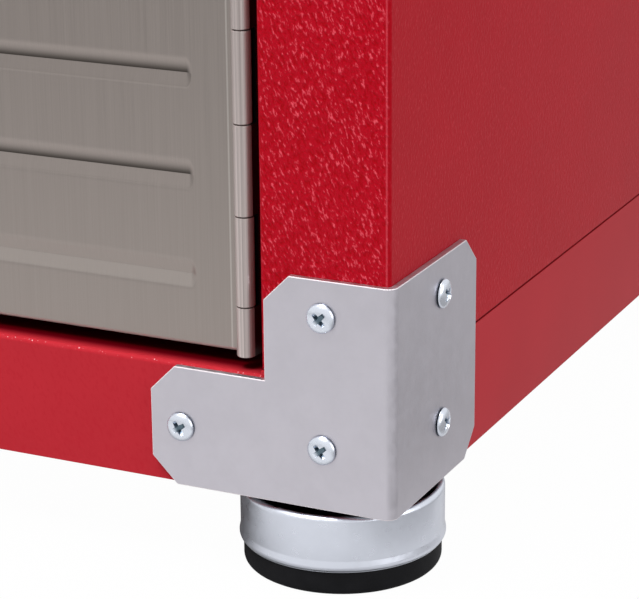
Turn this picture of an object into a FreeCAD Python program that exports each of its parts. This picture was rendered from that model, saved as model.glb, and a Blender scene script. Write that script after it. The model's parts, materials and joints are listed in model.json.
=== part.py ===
"""Free-standing steel tool cabinet: a drawer above two ribbed doors, corner brackets and levelling feet.

Millimetres. X is the width, Y the depth with the front at -Y, Z up. The origin is the centre of the
footprint at floor level. Right means +X, as seen from the front.
"""
import FreeCAD, Part
import math
import os

V = FreeCAD.Vector
X_AXIS = V(1, 0, 0)
Y_AXIS = V(0, 1, 0)
Z_AXIS = V(0, 0, 1)
ORIGIN = V(0, 0, 0)

# --- Body -----------------------------------------------------------------------------------------
BODY_W = 711.0
BODY_D = 508.0
SHEET = 1.2
BODY_BEND = 2.0              # outer bend radius of the body sheets
STILE_W = 55.4               # front stile and rear flange of a side panel
STILE_RETURN = 26.0
BASE_H = 53.3                # skirt height, base and top alike
SEAM = 0.8                   # open joint between a skirt and a side panel
RAIL_H = 51.3                # front and rear rail height
RAIL_DEPTH = 30.0
RAIL_LIP = 16.0
FLOOR_EDGE = 15.0            # down-turned edges of the cabinet floor
BACK_LAP = 15.0              # how far the back panel laps the rear flanges and the top panel
MID_RAIL_H = 28.0
MID_RAIL_LIP = 10.0
DIVIDER_EDGE = 10.0

# --- Doors and drawer front -------------------------------------------------------------------------
DOOR_SHEET = 1.0
DOOR_BEND = 1.6
PAN_SHEET = 0.8
PAN_EDGE = 11.0
DOOR_T = 25.0                # thickness of a door
DOOR_RECESS = 8.0            # door face behind the front of the body
DOOR_GAP = 5.4               # above and below a door
DOOR_CENTRE_GAP = 3.0
DOOR_SIDE = 68.25            # hinge edge of a door from the side of the body
RIB_PITCH = 40.8
RIB_MARGIN = 29.75           # first and last rib from the edge of the sheet
RIB_WIDTH = 12.0
RIB_DEPTH = 1.5
RIB_END = 19.2               # rib ends from the side edges of the sheet
RIB_END_RUN = 2.8            # sloping end of a rib
DOOR_RIBS = 13
DRAWER_RIBS = 3
DRAWER_FRONT_T = 20.0
DRAWER_GAP = 3.5             # around the drawer front

# --- Door jambs and hinges --------------------------------------------------------------------------
JAMB_SETBACK = 22.0
JAMB_REAR = 60.0
HINGE_R = 3.85               # outside of the hinge barrel
HINGE_AXIS_DEPTH = 5.5       # hinge axis behind the front of the body
HINGE_PIN_R = 1.8
HINGE_BORE_PLAY = 0.05
HINGE_SHEET = 1.2
HINGE_LEAF_REAR = 31.0       # rear edge of the leaves behind the front of the body
KNUCKLE = 36.9
KNUCKLE_GAP = 0.35
KNUCKLE_RELIEF = 0.6         # leaf edge from the other leaf's knuckles
HINGE_OVERHANG = 0.2         # barrel past the top and bottom of the door
HINGE_FIRST_KNUCKLE = 20.9

# --- Corner brackets and their screws ---------------------------------------------------------------
BRACKET_T = 3.0
BRACKET_H = 95.0
BRACKET_BEND = 4.5
BRACKET_UPRIGHT = 52.5       # width of the front leg above its arm
BRACKET_ARM = 103.75         # reach of the arm along the rail
BRACKET_ARM_H = 50.7
BRACKET_SIDE = 80.5
BRACKET_CHAMFER = 11.0
SCREW_LOW = 25.4
SCREW_HIGH = 79.8
SCREW_FRONT = 27.6
SCREW_ARM = 90.2
SCREW_SIDE = 44.6
SCREW_R = 3.0
SCREW_PLAY = 0.3
SCREW_HEAD_R = 6.0
SCREW_HEAD_H = 2.8
SCREW_HEAD_ROUND = 2.0
SCREW_LENGTH = 12.0          # under the head
CROSS_WIDTH = 1.4
CROSS_SPAN = 6.4
CROSS_DEPTH = 1.9
HEX_SIDES = 6
NUT_FLAT = 10.0
NUT_T = 5.0
NUT_PLAY = 0.05

# --- Feet -------------------------------------------------------------------------------------------
FOOT_H = 37.7                # floor to the underside of the body
FOOT_INSET = 38.0
CUP_TOP = 34.4
CUP_SHEET = 1.6
CUP_R = 42.6
CUP_SHOULDER = 3.5
CUP_BEAD_R = 43.2
CUP_BEAD_Z = 11.6
CUP_BEAD_RISE = 3.2
CUP_RIM_R = 42.0
CUP_RIM_Z = 10.1
PAD_R = 41.1
PAD_PLUG_R = 37.4
PAD_ROUND = 3.0
STUD_R = 6.0
STUD_LENGTH = 50.0           # above the cup
STUD_PLAY = 0.08
FOOT_PLATE_T = 3.0
WELD_NUT_FLAT = 19.0
WELD_NUT_T = 10.0
JAM_NUT_T = 2.9

# --- Handles ----------------------------------------------------------------------------------------
HANDLE_R = 5.5
HANDLE_BEND = 14.0
HANDLE_STAND = 30.0          # door face to the centre of the bar
HANDLE_PITCHES = 4           # rib pitches between the posts
HANDLE_CENTRE_PITCH = 8.5    # door handle centre, in rib pitches above the lowest rib
HANDLE_INSET = 40.0          # from the inner edge of the door
ROSETTE_R = 9.0
ROSETTE_T = 3.0
DRAWER_HANDLE_SPAN = 165.0
DRAWER_HANDLE_PITCH = 1.5

# --- Lock -------------------------------------------------------------------------------------------
LOCK_PITCH = 11.5            # lock centre, in rib pitches above the lowest rib
LOCK_FLANGE_R = 11.0
LOCK_FLANGE_T = 3.0
LOCK_BARREL_R = 9.0
LOCK_BARREL_REAR = 1.4       # barrel past the back of the door
PLUG_R = 6.0
PLUG_PLAY = 0.05
PLUG_PROUD = 0.6
PLUG_REAR = 2.4              # plug past the barrel
KEYWAY_W = 1.6
KEYWAY_H = 7.4
KEYWAY_DEPTH = 3.0
LOCK_PLAY = 0.1
CAM_GAP = 0.3
CAM_T = 2.0
CAM_W = 16.0
CAM_LAP = 7.0                # tip of the cam past the bottom of the mid rail

# --- Magnetic catches -------------------------------------------------------------------------------
CATCH_X = 130.0
CATCH_W = 40.0
CATCH_D = 13.7
CATCH_BELOW = 24.0           # housing below the mid rail
CATCH_LAP = 8.0              # housing on the lip of the mid rail
MAGNET_W = 30.0
MAGNET_H = 10.0
MAGNET_T = 4.0
MAGNET_UP = 2.0
STRIKE_T = 1.0
STRIKE_W = 36.0
STRIKE_H = 17.0
STRIKE_DROP = 1.6
CATCH_GAP = 0.3

# --- Shelf ------------------------------------------------------------------------------------------
SHELF_Z = 330.0
SHELF_SHEET = 1.0
SHELF_EDGE = 25.0
SHELF_PLAY = 2.0
SHELF_FRONT = 66.0
SHELF_REAR_PLAY = 4.0
STANDARD_W = 15.0
STANDARD_T = 3.0
STANDARD_BOTTOM = 60.0
STANDARD_TOP = 600.0
STANDARD_FRONT = 110.0
STANDARD_REAR = 440.0
SLOT_PITCH = 25.0
SLOT_W = 3.2
SLOT_H = 10.0
CLIP_REACH = 12.0
CLIP_W = 10.0
CLIP_H = 12.0
TONGUE_PLAY = 0.2

# --- Drawer -----------------------------------------------------------------------------------------
DRAWER_SHEET = 1.0
DRAWER_BOX_H = 100.0
DRAWER_BOX_UP = 10.2         # box above the lower edge of the front
DRAWER_BOX_D = 460.0
MAT_T = 1.5
MAT_PLAY = 2.0
SLIDE_SPACE = 13.0
SLIDE_H = 45.0
SLIDE_SHEET = 1.2
SLIDE_PLAY = 0.3
SLIDE_LENGTH = 450.0
SLIDE_UP = 40.0              # slide centre above the bottom of the box
SLIDE_TIP = 0.6              # flange tips from the side of the drawer box
RUNNER_H = 70.0
RUNNER_FLANGE = 13.0

# --- Places worked out from the sizes ----------------------------------------------------------------
HANDLE_REACH = HANDLE_STAND + HANDLE_R - DOOR_RECESS
BACK_REACH = BRACKET_T + SCREW_HEAD_H
FRONT = HANDLE_REACH - (HANDLE_REACH + BODY_D + BACK_REACH) / 2
REAR = FRONT + BODY_D
SIDE = BODY_W / 2
BOTTOM = FOOT_H
OPENING = SIDE - STILE_W             # inner edge of the stiles
SIDE_INNER = SIDE - SHEET
FLOOR_TOP = BOTTOM + RAIL_H
DOOR_BOTTOM = FLOOR_TOP + DOOR_GAP
DOOR_H = 2 * RIB_MARGIN + (DOOR_RIBS - 1) * RIB_PITCH
DOOR_TOP = DOOR_BOTTOM + DOOR_H
MID_RAIL_BOTTOM = DOOR_TOP + DOOR_GAP
MID_RAIL_TOP = MID_RAIL_BOTTOM + MID_RAIL_H
DRAWER_BOTTOM = MID_RAIL_TOP + DRAWER_GAP
DRAWER_FRONT_H = 2 * RIB_MARGIN + (DRAWER_RIBS - 1) * RIB_PITCH
DRAWER_TOP = DRAWER_BOTTOM + DRAWER_FRONT_H
TOP = DRAWER_TOP + DRAWER_GAP + RAIL_H
PANEL_BOTTOM = BOTTOM + BASE_H + SEAM
PANEL_TOP = TOP - BASE_H - SEAM
BACK_FRONT = REAR - 2 * SHEET        # front face of the back panel

DOOR_OUTER = SIDE - DOOR_SIDE
DOOR_INNER = DOOR_CENTRE_GAP / 2
DOOR_FACE = FRONT + DOOR_RECESS
DOOR_BACK = DOOR_FACE + DOOR_T
HINGE_X = DOOR_OUTER + HINGE_R
HINGE_Y = FRONT + HINGE_AXIS_DEPTH
HINGE_BOTTOM = DOOR_BOTTOM - HINGE_OVERHANG
HINGE_TOP = DOOR_TOP + HINGE_OVERHANG
JAMB_X = HINGE_X + HINGE_R
MID_RAIL_BACK = DOOR_BACK + STRIKE_T + CATCH_GAP
FIRST_RIB = DOOR_BOTTOM + RIB_MARGIN
HANDLE_X = DOOR_INNER + HANDLE_INSET
HANDLE_Z = FIRST_RIB + HANDLE_CENTRE_PITCH * RIB_PITCH
LOCK_Z = FIRST_RIB + LOCK_PITCH * RIB_PITCH
PLUG_FRONT = DOOR_FACE - LOCK_FLANGE_T - PLUG_PROUD
BARREL_BACK = DOOR_BACK + LOCK_BARREL_REAR
CAM_FRONT = BARREL_BACK + CAM_GAP
CAM_LENGTH = MID_RAIL_BOTTOM + CAM_LAP - LOCK_Z

BOX_FRONT = DOOR_FACE + DRAWER_FRONT_T
BOX_SIDE = OPENING - SLIDE_SPACE
BOX_BOTTOM = DRAWER_BOTTOM + DRAWER_BOX_UP
DRAWER_FRONT_SIDE = OPENING - DRAWER_GAP
SLIDE_Z = BOX_BOTTOM + SLIDE_UP
STANDARD_FACE = SIDE_INNER - STANDARD_T


# --- Helpers ----------------------------------------------------------------------------------------
def block(x0, x1, y0, y1, z0, z1):
    """A box between three pairs of coordinates."""
    return Part.makeBox(x1 - x0, y1 - y0, z1 - z0, V(x0, y0, z0))


def mirrored(shape):
    """The same piece on the other side of the cabinet."""
    return shape.mirror(ORIGIN, X_AXIS)


def rounded_path(points, radii):
    """Edges along points, with an arc of the given radius at each corner."""
    edges = []
    start = points[0]
    for corner, radius, before, after in zip(points[1:-1], radii, points, points[2:]):
        back = (before - corner).normalize()
        ahead = (after - corner).normalize()
        half = back.getAngle(ahead) / 2
        reach = radius / math.tan(half)
        inward = (back + ahead).normalize()
        arc_start = corner + back * reach
        arc_end = corner + ahead * reach
        middle = corner + inward * (radius / math.sin(half) - radius)
        edges.append(Part.LineSegment(start, arc_start).toShape())
        edges.append(Part.Arc(arc_start, middle, arc_end).toShape())
        start = arc_end
    edges.append(Part.LineSegment(start, points[-1]).toShape())
    return edges


def bent_sheet(points, axis, thickness, bend, along):
    """Sheet whose outer face runs through points; it is extruded by the vector along.

    The material lies on the left of the path as seen against axis.
    """
    ways = [(b - a).normalize() for a, b in zip(points, points[1:])]
    lefts = [axis.cross(way) for way in ways]
    inner = [points[0] + lefts[0] * thickness]
    radii = []
    inner_radii = []
    for i, corner in enumerate(points[1:-1]):
        share = thickness / (1 + lefts[i].dot(lefts[i + 1]))
        inner.append(corner + (lefts[i] + lefts[i + 1]) * share)
        turns_left = axis.dot(ways[i].cross(ways[i + 1])) > 0
        radii.append(bend if turns_left else bend - thickness)
        inner_radii.append(bend - thickness if turns_left else bend)
    inner.append(points[-1] + lefts[-1] * thickness)
    edges = rounded_path(points, radii) + rounded_path(inner, inner_radii)
    edges.append(Part.LineSegment(points[0], inner[0]).toShape())
    edges.append(Part.LineSegment(points[-1], inner[-1]).toShape())
    outline = Part.Wire(Part.__sortEdges__(edges))
    return Part.Face(outline).extrude(along)


def hexagon(flat, height, base, axis=Z_AXIS):
    """Hexagonal prism, given across its flats."""
    reach = flat / 2 / math.cos(math.pi / HEX_SIDES)
    corners = [X_AXIS * reach]
    turn = FreeCAD.Rotation(Z_AXIS, 360 / HEX_SIDES)
    for _ in range(HEX_SIDES - 1):
        corners.append(turn.multVec(corners[-1]))
    corners.append(corners[0])
    shape = Part.Face(Part.makePolygon(corners)).extrude(Z_AXIS * height)
    shape.Placement = FreeCAD.Placement(base, FreeCAD.Rotation(Z_AXIS, axis))
    return shape


def edges_at(shape, test):
    """Edges of a shape that pass a test of their middle point and of the edge itself."""
    found = []
    for edge in shape.Edges:
        if test(edge.BoundBox.Center, edge):
            found.append(edge)
    return found


def save(name, shape):
    """Write one node, as one solid or a group of separate solids."""
    solids = shape.Solids
    group = solids[0] if len(solids) == 1 else Part.makeCompound(solids)
    group.exportStep(os.path.join("parts", name + ".step"))


# --- Screw places -----------------------------------------------------------------------------------
def corner_copies(shape):
    """One bottom front right piece, copied to all eight corners of the body."""
    middle = V(0, (FRONT + REAR) / 2, (BOTTOM + TOP) / 2)
    copies = [shape]
    for normal in (X_AXIS, Y_AXIS, Z_AXIS):
        copies += [copy.mirror(middle, normal) for copy in copies]
    return copies


def bracket_screw_places():
    """Point on the body and outward direction of each screw of the bottom front right bracket."""
    front = [(SCREW_FRONT, SCREW_LOW), (SCREW_FRONT, SCREW_HIGH), (SCREW_ARM, SCREW_LOW)]
    places = [(V(SIDE - across, FRONT, BOTTOM + up), -Y_AXIS) for across, up in front]
    for up in (SCREW_LOW, SCREW_HIGH):
        places.append((V(SIDE, FRONT + SCREW_SIDE, BOTTOM + up), X_AXIS))
    return places


def screw_holes():
    """All clearance holes for the bracket screws, as one tool."""
    tools = []
    for point, outward in bracket_screw_places():
        start = point + outward * (BRACKET_T + SCREW_PLAY)
        tool = Part.makeCylinder(SCREW_R + SCREW_PLAY, SCREW_LENGTH, start, -outward)
        tools += corner_copies(tool)
    return Part.makeCompound(tools)


def bracket_screw(point, outward):
    """Cross-recess pan-head screw through a bracket."""
    seat = point + outward * BRACKET_T
    head = Part.makeCylinder(SCREW_HEAD_R, SCREW_HEAD_H, ORIGIN, Z_AXIS)
    half = SCREW_HEAD_H / 2
    rim = edges_at(head, lambda middle, edge: middle.z > half and edge.BoundBox.ZLength < half)
    head = head.makeFillet(SCREW_HEAD_ROUND, rim)
    deep = SCREW_HEAD_H - CROSS_DEPTH
    for long_x, long_y in ((CROSS_SPAN, CROSS_WIDTH), (CROSS_WIDTH, CROSS_SPAN)):
        head = head.cut(block(-long_x / 2, long_x / 2, -long_y / 2, long_y / 2, deep, SCREW_HEAD_H))
    shank = Part.makeCylinder(SCREW_R, SCREW_LENGTH, V(0, 0, -SCREW_LENGTH), Z_AXIS)
    screw = head.fuse(shank).removeSplitter()
    screw.Placement = FreeCAD.Placement(seat, FreeCAD.Rotation(Z_AXIS, outward))
    return screw


def bracket_nut(point, outward):
    """Clinch nut behind the body sheet."""
    base = point - outward * SHEET
    nut = hexagon(NUT_FLAT, NUT_T, base, -outward)
    return nut.cut(Part.makeCylinder(SCREW_R + NUT_PLAY, NUT_T, base, -outward))


# --- Body -------------------------------------------------------------------------------------------
def side_panel():
    """Right side panel, folded round into the front stile and the rear flange."""
    stile = [(OPENING, FRONT + STILE_RETURN), (OPENING, FRONT), (SIDE, FRONT)]
    rear_flange = [(SIDE, REAR), (OPENING, REAR)]
    points = [V(x, y, PANEL_BOTTOM) for x, y in stile + rear_flange]
    return bent_sheet(points, Z_AXIS, SHEET, BODY_BEND, Z_AXIS * (PANEL_TOP - PANEL_BOTTOM))


def base_skirt():
    """Right base skirt, folded round the front and rear corners."""
    corners = [(OPENING, FRONT), (SIDE, FRONT), (SIDE, REAR), (OPENING, REAR)]
    points = [V(x, y, BOTTOM) for x, y in corners]
    return bent_sheet(points, Z_AXIS, SHEET, BODY_BEND, Z_AXIS * BASE_H)


def base_rail():
    """Base front rail: face, rounded top flange and a stiffening lip."""
    rear = FRONT + RAIL_DEPTH
    section = [(rear, FLOOR_TOP - RAIL_LIP), (rear, FLOOR_TOP), (FRONT, FLOOR_TOP), (FRONT, BOTTOM)]
    points = [V(-OPENING, y, z) for y, z in section]
    return bent_sheet(points, X_AXIS, SHEET, BODY_BEND, X_AXIS * (2 * OPENING))


def mid_rail():
    """Rail between the doors and the drawer, a channel with rear lips."""
    x = -OPENING
    points = [
        V(x, MID_RAIL_BACK, MID_RAIL_TOP - MID_RAIL_LIP),
        V(x, MID_RAIL_BACK, MID_RAIL_TOP),
        V(x, FRONT, MID_RAIL_TOP),
        V(x, FRONT, MID_RAIL_BOTTOM),
        V(x, MID_RAIL_BACK, MID_RAIL_BOTTOM),
        V(x, MID_RAIL_BACK, MID_RAIL_BOTTOM + MID_RAIL_LIP),
    ]
    return bent_sheet(points, X_AXIS, SHEET, BODY_BEND, X_AXIS * (2 * OPENING))


def top_panel():
    """Top panel: a folded tray turned upside down, with a rail lip over the drawer."""
    outer = block(-SIDE, SIDE, FRONT, REAR, TOP - BASE_H, TOP)
    folds = edges_at(outer, lambda middle, edge: middle.z > TOP - BASE_H + SHEET)
    outer = outer.makeFillet(BODY_BEND, folds)
    inner = block(-SIDE_INNER, SIDE_INNER, FRONT + SHEET, REAR - SHEET, TOP - BASE_H, TOP - SHEET)
    tray = outer.cut(inner)
    lip_z = TOP - RAIL_H
    tray = tray.cut(block(-OPENING, OPENING, FRONT, FRONT + SHEET, TOP - BASE_H, lip_z))
    section = [(FRONT, lip_z + RAIL_LIP), (FRONT, lip_z), (FRONT + RAIL_DEPTH, lip_z)]
    points = [V(-OPENING, y, z) for y, z in section]
    lip = bent_sheet(points, X_AXIS, SHEET, BODY_BEND, X_AXIS * (2 * OPENING))
    cut = block(-OPENING, OPENING, FRONT, FRONT + SHEET, lip_z, lip_z + RAIL_LIP)
    return tray.cut(cut).fuse(lip).removeSplitter()


def cabinet_floor():
    """Floor between the rails, with its side edges folded down inside the skirts."""
    y0 = FRONT + RAIL_DEPTH
    points = [
        V(SIDE_INNER, y0, FLOOR_TOP - FLOOR_EDGE),
        V(SIDE_INNER, y0, FLOOR_TOP),
        V(-SIDE_INNER, y0, FLOOR_TOP),
        V(-SIDE_INNER, y0, FLOOR_TOP - FLOOR_EDGE),
    ]
    return bent_sheet(points, -Y_AXIS, SHEET, BODY_BEND, Y_AXIS * (REAR - RAIL_DEPTH - y0))


def divider_panel():
    """Panel under the drawer, with its side edges folded down against the side panels."""
    z = MID_RAIL_BOTTOM + MID_RAIL_LIP
    points = [
        V(SIDE_INNER, MID_RAIL_BACK, z - DIVIDER_EDGE),
        V(SIDE_INNER, MID_RAIL_BACK, z),
        V(-SIDE_INNER, MID_RAIL_BACK, z),
        V(-SIDE_INNER, MID_RAIL_BACK, z - DIVIDER_EDGE),
    ]
    return bent_sheet(points, -Y_AXIS, SHEET, BODY_BEND, Y_AXIS * (BACK_FRONT - MID_RAIL_BACK))


def back_panel():
    """Back panel behind the compartments, lapping the rear flanges from inside."""
    half = OPENING + BACK_LAP
    return block(-half, half, BACK_FRONT, BACK_FRONT + SHEET, FLOOR_TOP, TOP - BASE_H + BACK_LAP)


def door_jamb():
    """Right door jamb: a post behind the stile that carries the hinge."""
    rear = FRONT + JAMB_REAR
    points = [
        V(SIDE_INNER, rear, FLOOR_TOP),
        V(JAMB_X, rear, FLOOR_TOP),
        V(JAMB_X, FRONT + JAMB_SETBACK, FLOOR_TOP),
        V(OPENING, FRONT + JAMB_SETBACK, FLOOR_TOP),
    ]
    return bent_sheet(points, Z_AXIS, SHEET, BODY_BEND, Z_AXIS * (MID_RAIL_BOTTOM - FLOOR_TOP))


def runner_plate():
    """Right plate between stile and back that carries the drawer slide."""
    z = SLIDE_Z - RUNNER_H / 2
    points = [
        V(OPENING + RUNNER_FLANGE, BACK_FRONT, z),
        V(OPENING, BACK_FRONT, z),
        V(OPENING, FRONT + STILE_RETURN, z),
    ]
    return bent_sheet(points, Z_AXIS, SHEET, BODY_BEND, Z_AXIS * RUNNER_H)


# --- Corner brackets --------------------------------------------------------------------------------
def corner_bracket():
    """Bottom front right bracket: an L-shaped front leg and a plain side leg."""
    c = BRACKET_CHAMFER
    front_leg = [
        (-BRACKET_T, 0),
        (BRACKET_ARM - c, 0),
        (BRACKET_ARM, c),
        (BRACKET_ARM, BRACKET_ARM_H - c),
        (BRACKET_ARM - c, BRACKET_ARM_H),
        (BRACKET_UPRIGHT, BRACKET_ARM_H),
        (BRACKET_UPRIGHT, BRACKET_H - c),
        (BRACKET_UPRIGHT - c, BRACKET_H),
        (-BRACKET_T, BRACKET_H),
        (-BRACKET_T, 0),
    ]
    side_leg = [
        (-BRACKET_T, 0),
        (BRACKET_SIDE - c, 0),
        (BRACKET_SIDE, c),
        (BRACKET_SIDE, BRACKET_H - c),
        (BRACKET_SIDE - c, BRACKET_H),
        (-BRACKET_T, BRACKET_H),
        (-BRACKET_T, 0),
    ]
    front = Part.Face(Part.makePolygon([V(SIDE - x, FRONT, BOTTOM + z) for x, z in front_leg]))
    side = Part.Face(Part.makePolygon([V(SIDE, FRONT + y, BOTTOM + z) for y, z in side_leg]))
    bracket = front.extrude(-Y_AXIS * BRACKET_T).fuse(side.extrude(X_AXIS * BRACKET_T)).removeSplitter()
    proud = BRACKET_T / 2
    bend = edges_at(
        bracket,
        lambda middle, edge: middle.x > SIDE + proud and middle.y < FRONT - proud
        and edge.BoundBox.ZLength > BRACKET_H / 2,
    )
    bracket = bracket.makeFillet(BRACKET_BEND, bend)
    for point, outward in bracket_screw_places():
        bracket = bracket.cut(Part.makeCylinder(SCREW_R + SCREW_PLAY, BRACKET_T, point, outward))
    return bracket


# --- Feet -------------------------------------------------------------------------------------------
def revolved(profile_edges, centre):
    """Solid turned from edges in the XZ plane about the vertical through centre."""
    wire = Part.Wire(Part.__sortEdges__(profile_edges))
    solid = Part.Face(wire).revolve(ORIGIN, Z_AXIS, 360)
    solid.translate(centre)
    return solid


def polyline(points):
    """Straight edges through (radius, height) pairs, closed."""
    corners = [V(r, 0, z) for r, z in points]
    return [Part.LineSegment(a, b).toShape() for a, b in zip(corners, corners[1:] + corners[:1])]


def foot_cup(centre):
    """Pressed cup with a rolled bead and a welded threaded stud."""
    t = CUP_SHEET
    outer = [
        V(0, 0, CUP_TOP),
        V(CUP_R, 0, CUP_TOP),
        V(CUP_R, 0, CUP_BEAD_Z + CUP_BEAD_RISE),
        V(CUP_BEAD_R, 0, CUP_BEAD_Z),
        V(CUP_RIM_R, 0, CUP_RIM_Z),
    ]
    inner = [V(p.x - t if p.x else 0, 0, p.z - t if p.z == CUP_TOP else p.z) for p in outer]
    rounds = [CUP_SHOULDER, CUP_SHOULDER, CUP_SHOULDER]
    edges = rounded_path(outer, rounds) + rounded_path(inner, [CUP_SHOULDER - t] + rounds[1:])
    edges.append(Part.LineSegment(outer[0], inner[0]).toShape())
    edges.append(Part.LineSegment(outer[-1], inner[-1]).toShape())
    cup = revolved(edges, centre)
    stud = Part.makeCylinder(STUD_R, t + STUD_LENGTH, centre + Z_AXIS * (CUP_TOP - t), Z_AXIS)
    return cup.fuse(stud).removeSplitter()


def foot_pad(centre):
    """Rubber pad that fills the cup and stands on the floor."""
    plug_top = CUP_TOP - CUP_SHEET
    tread = [(0, 0), (PAD_R, 0), (PAD_R, CUP_RIM_Z)]
    plug = [(PAD_PLUG_R, CUP_RIM_Z), (PAD_PLUG_R, plug_top), (0, plug_top)]
    pad = revolved(polyline(tread + plug), centre)
    lower_rim = edges_at(pad, lambda middle, edge: middle.z < PAD_ROUND and edge.BoundBox.XLength > PAD_R)
    return pad.makeFillet(PAD_ROUND, lower_rim)


def foot_plate(centre):
    """Plate inside the base with a welded nut for the stud."""
    half = FOOT_INSET - SHEET
    plate = block(
        centre.x - half, centre.x + half, centre.y - half, centre.y + half, BOTTOM, BOTTOM + FOOT_PLATE_T
    )
    uprights = edges_at(plate, lambda middle, edge: edge.BoundBox.ZLength > FOOT_PLATE_T / 2)
    plate = plate.makeFillet(BODY_BEND, uprights)
    nut_base = V(centre.x, centre.y, BOTTOM + FOOT_PLATE_T)
    plate = plate.fuse(hexagon(WELD_NUT_FLAT, WELD_NUT_T, nut_base))
    base = V(centre.x, centre.y, BOTTOM)
    bore = Part.makeCylinder(STUD_R + STUD_PLAY, FOOT_PLATE_T + WELD_NUT_T, base)
    return plate.cut(bore)


def jam_nut(centre):
    """Thin nut that locks the stud against the foot plate."""
    base = V(centre.x, centre.y, BOTTOM - JAM_NUT_T)
    bore = Part.makeCylinder(STUD_R + STUD_PLAY, JAM_NUT_T, base)
    return hexagon(WELD_NUT_FLAT, JAM_NUT_T, base).cut(bore)


# --- Ribbed sheets ----------------------------------------------------------------------------------
def rib(x0, x1, face, z, depth):
    """V-shaped pressing with sloping ends, its mouth on the face; depth sets its size."""
    share = depth / RIB_DEPTH
    half = RIB_WIDTH / 2 * share
    crease = (x0 + RIB_END + RIB_END_RUN, x1 - RIB_END - RIB_END_RUN)
    mouth = (crease[0] - RIB_END_RUN * share, crease[1] + RIB_END_RUN * share)
    return Part.makeWedge(mouth[0], face, z - half, z, crease[0], mouth[1], face + depth, z + half, z, crease[1])


def ribbed_skin(x0, x1, z0, z1, depth, ribs):
    """Folded tray with pressed ribs across its front face."""
    outer = block(x0, x1, DOOR_FACE, DOOR_FACE + depth, z0, z1)
    s = DOOR_SHEET
    outer = outer.makeFillet(DOOR_BEND, edges_at(outer, lambda middle, edge: middle.y < DOOR_FACE + s))
    inner = block(x0 + s, x1 - s, DOOR_FACE + s, DOOR_FACE + depth, z0 + s, z1 - s)
    inner_folds = edges_at(inner, lambda middle, edge: middle.y < DOOR_FACE + depth / 2)
    inner = inner.makeFillet(DOOR_BEND - s, inner_folds)
    skin = outer.cut(inner)
    slope = math.atan2(RIB_DEPTH, RIB_WIDTH / 2)
    back_depth = RIB_DEPTH + DOOR_SHEET / math.cos(slope)
    heights = [z0 + RIB_MARGIN + i * RIB_PITCH for i in range(ribs)]
    skin = skin.multiFuse([rib(x0, x1, DOOR_FACE, z, back_depth) for z in heights])
    return skin.cut(Part.makeCompound([rib(x0, x1, DOOR_FACE, z, RIB_DEPTH) for z in heights]))


def inner_pan(x0, x1, z0, z1, back):
    """Shallow tray that closes the back of a ribbed skin."""
    s = DOOR_SHEET
    t = PAN_SHEET
    outer = block(x0 + s, x1 - s, back - PAN_EDGE, back, z0 + s, z1 - s)
    return outer.cut(block(x0 + s + t, x1 - s - t, back - PAN_EDGE, back - t, z0 + s + t, z1 - s - t))


def handle(a, b):
    """Bent round bar between two feet on the door face, with a rosette at each foot."""
    out = -Y_AXIS * HANDLE_STAND
    edges = rounded_path([a, a + out, b + out, b], [HANDLE_BEND, HANDLE_BEND])
    section = Part.Wire(Part.makeCircle(HANDLE_R, a, -Y_AXIS))
    bar = Part.Wire(edges).makePipeShell([section], True, True)
    for foot in (a, b):
        bar = bar.fuse(Part.makeCylinder(ROSETTE_R, ROSETTE_T, foot, -Y_AXIS))
    return bar.removeSplitter()


# --- Hinges -----------------------------------------------------------------------------------------
def knuckle_spans():
    """Lower and upper end of every knuckle, from the bottom up."""
    marks = [HINGE_BOTTOM, HINGE_BOTTOM + HINGE_FIRST_KNUCKLE]
    while marks[-1] + KNUCKLE < HINGE_TOP:
        marks.append(marks[-1] + KNUCKLE)
    marks.append(HINGE_TOP)
    return list(zip(marks, marks[1:]))


def hinge_leaf(first, x0, z0, z1):
    """One leaf with every second knuckle, starting at the given one."""
    notch = HINGE_Y + HINGE_R + KNUCKLE_RELIEF
    rear = FRONT + HINGE_LEAF_REAR
    leaf = block(x0, x0 + HINGE_SHEET, notch, rear, z0, z1)
    pieces = []
    for low, high in knuckle_spans()[first::2]:
        low += KNUCKLE_GAP / 2
        high -= KNUCKLE_GAP / 2
        pieces.append(Part.makeCylinder(HINGE_R, high - low, V(HINGE_X, HINGE_Y, low)))
        pieces.append(block(x0, x0 + HINGE_SHEET, HINGE_Y, notch, max(low, z0), min(high, z1)))
    leaf = leaf.multiFuse(pieces).removeSplitter()
    foot = V(HINGE_X, HINGE_Y, HINGE_BOTTOM)
    return leaf.cut(Part.makeCylinder(HINGE_PIN_R + HINGE_BORE_PLAY, HINGE_TOP - HINGE_BOTTOM, foot))


def hinge_pin():
    """Pin through all knuckles."""
    foot = V(HINGE_X, HINGE_Y, HINGE_BOTTOM)
    return Part.makeCylinder(HINGE_PIN_R, HINGE_TOP - HINGE_BOTTOM, foot)


# --- Lock and catches -------------------------------------------------------------------------------
def lock_housing():
    """Lock body: a flange on the door face and a barrel through the door."""
    centre = V(HANDLE_X, DOOR_FACE - LOCK_FLANGE_T, LOCK_Z)
    length = BARREL_BACK - centre.y
    flange = Part.makeCylinder(LOCK_FLANGE_R, LOCK_FLANGE_T, centre, Y_AXIS)
    barrel = Part.makeCylinder(LOCK_BARREL_R, length, centre, Y_AXIS)
    body = flange.fuse(barrel).removeSplitter()
    return body.cut(Part.makeCylinder(PLUG_R + PLUG_PLAY, length, centre, Y_AXIS))


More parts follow.
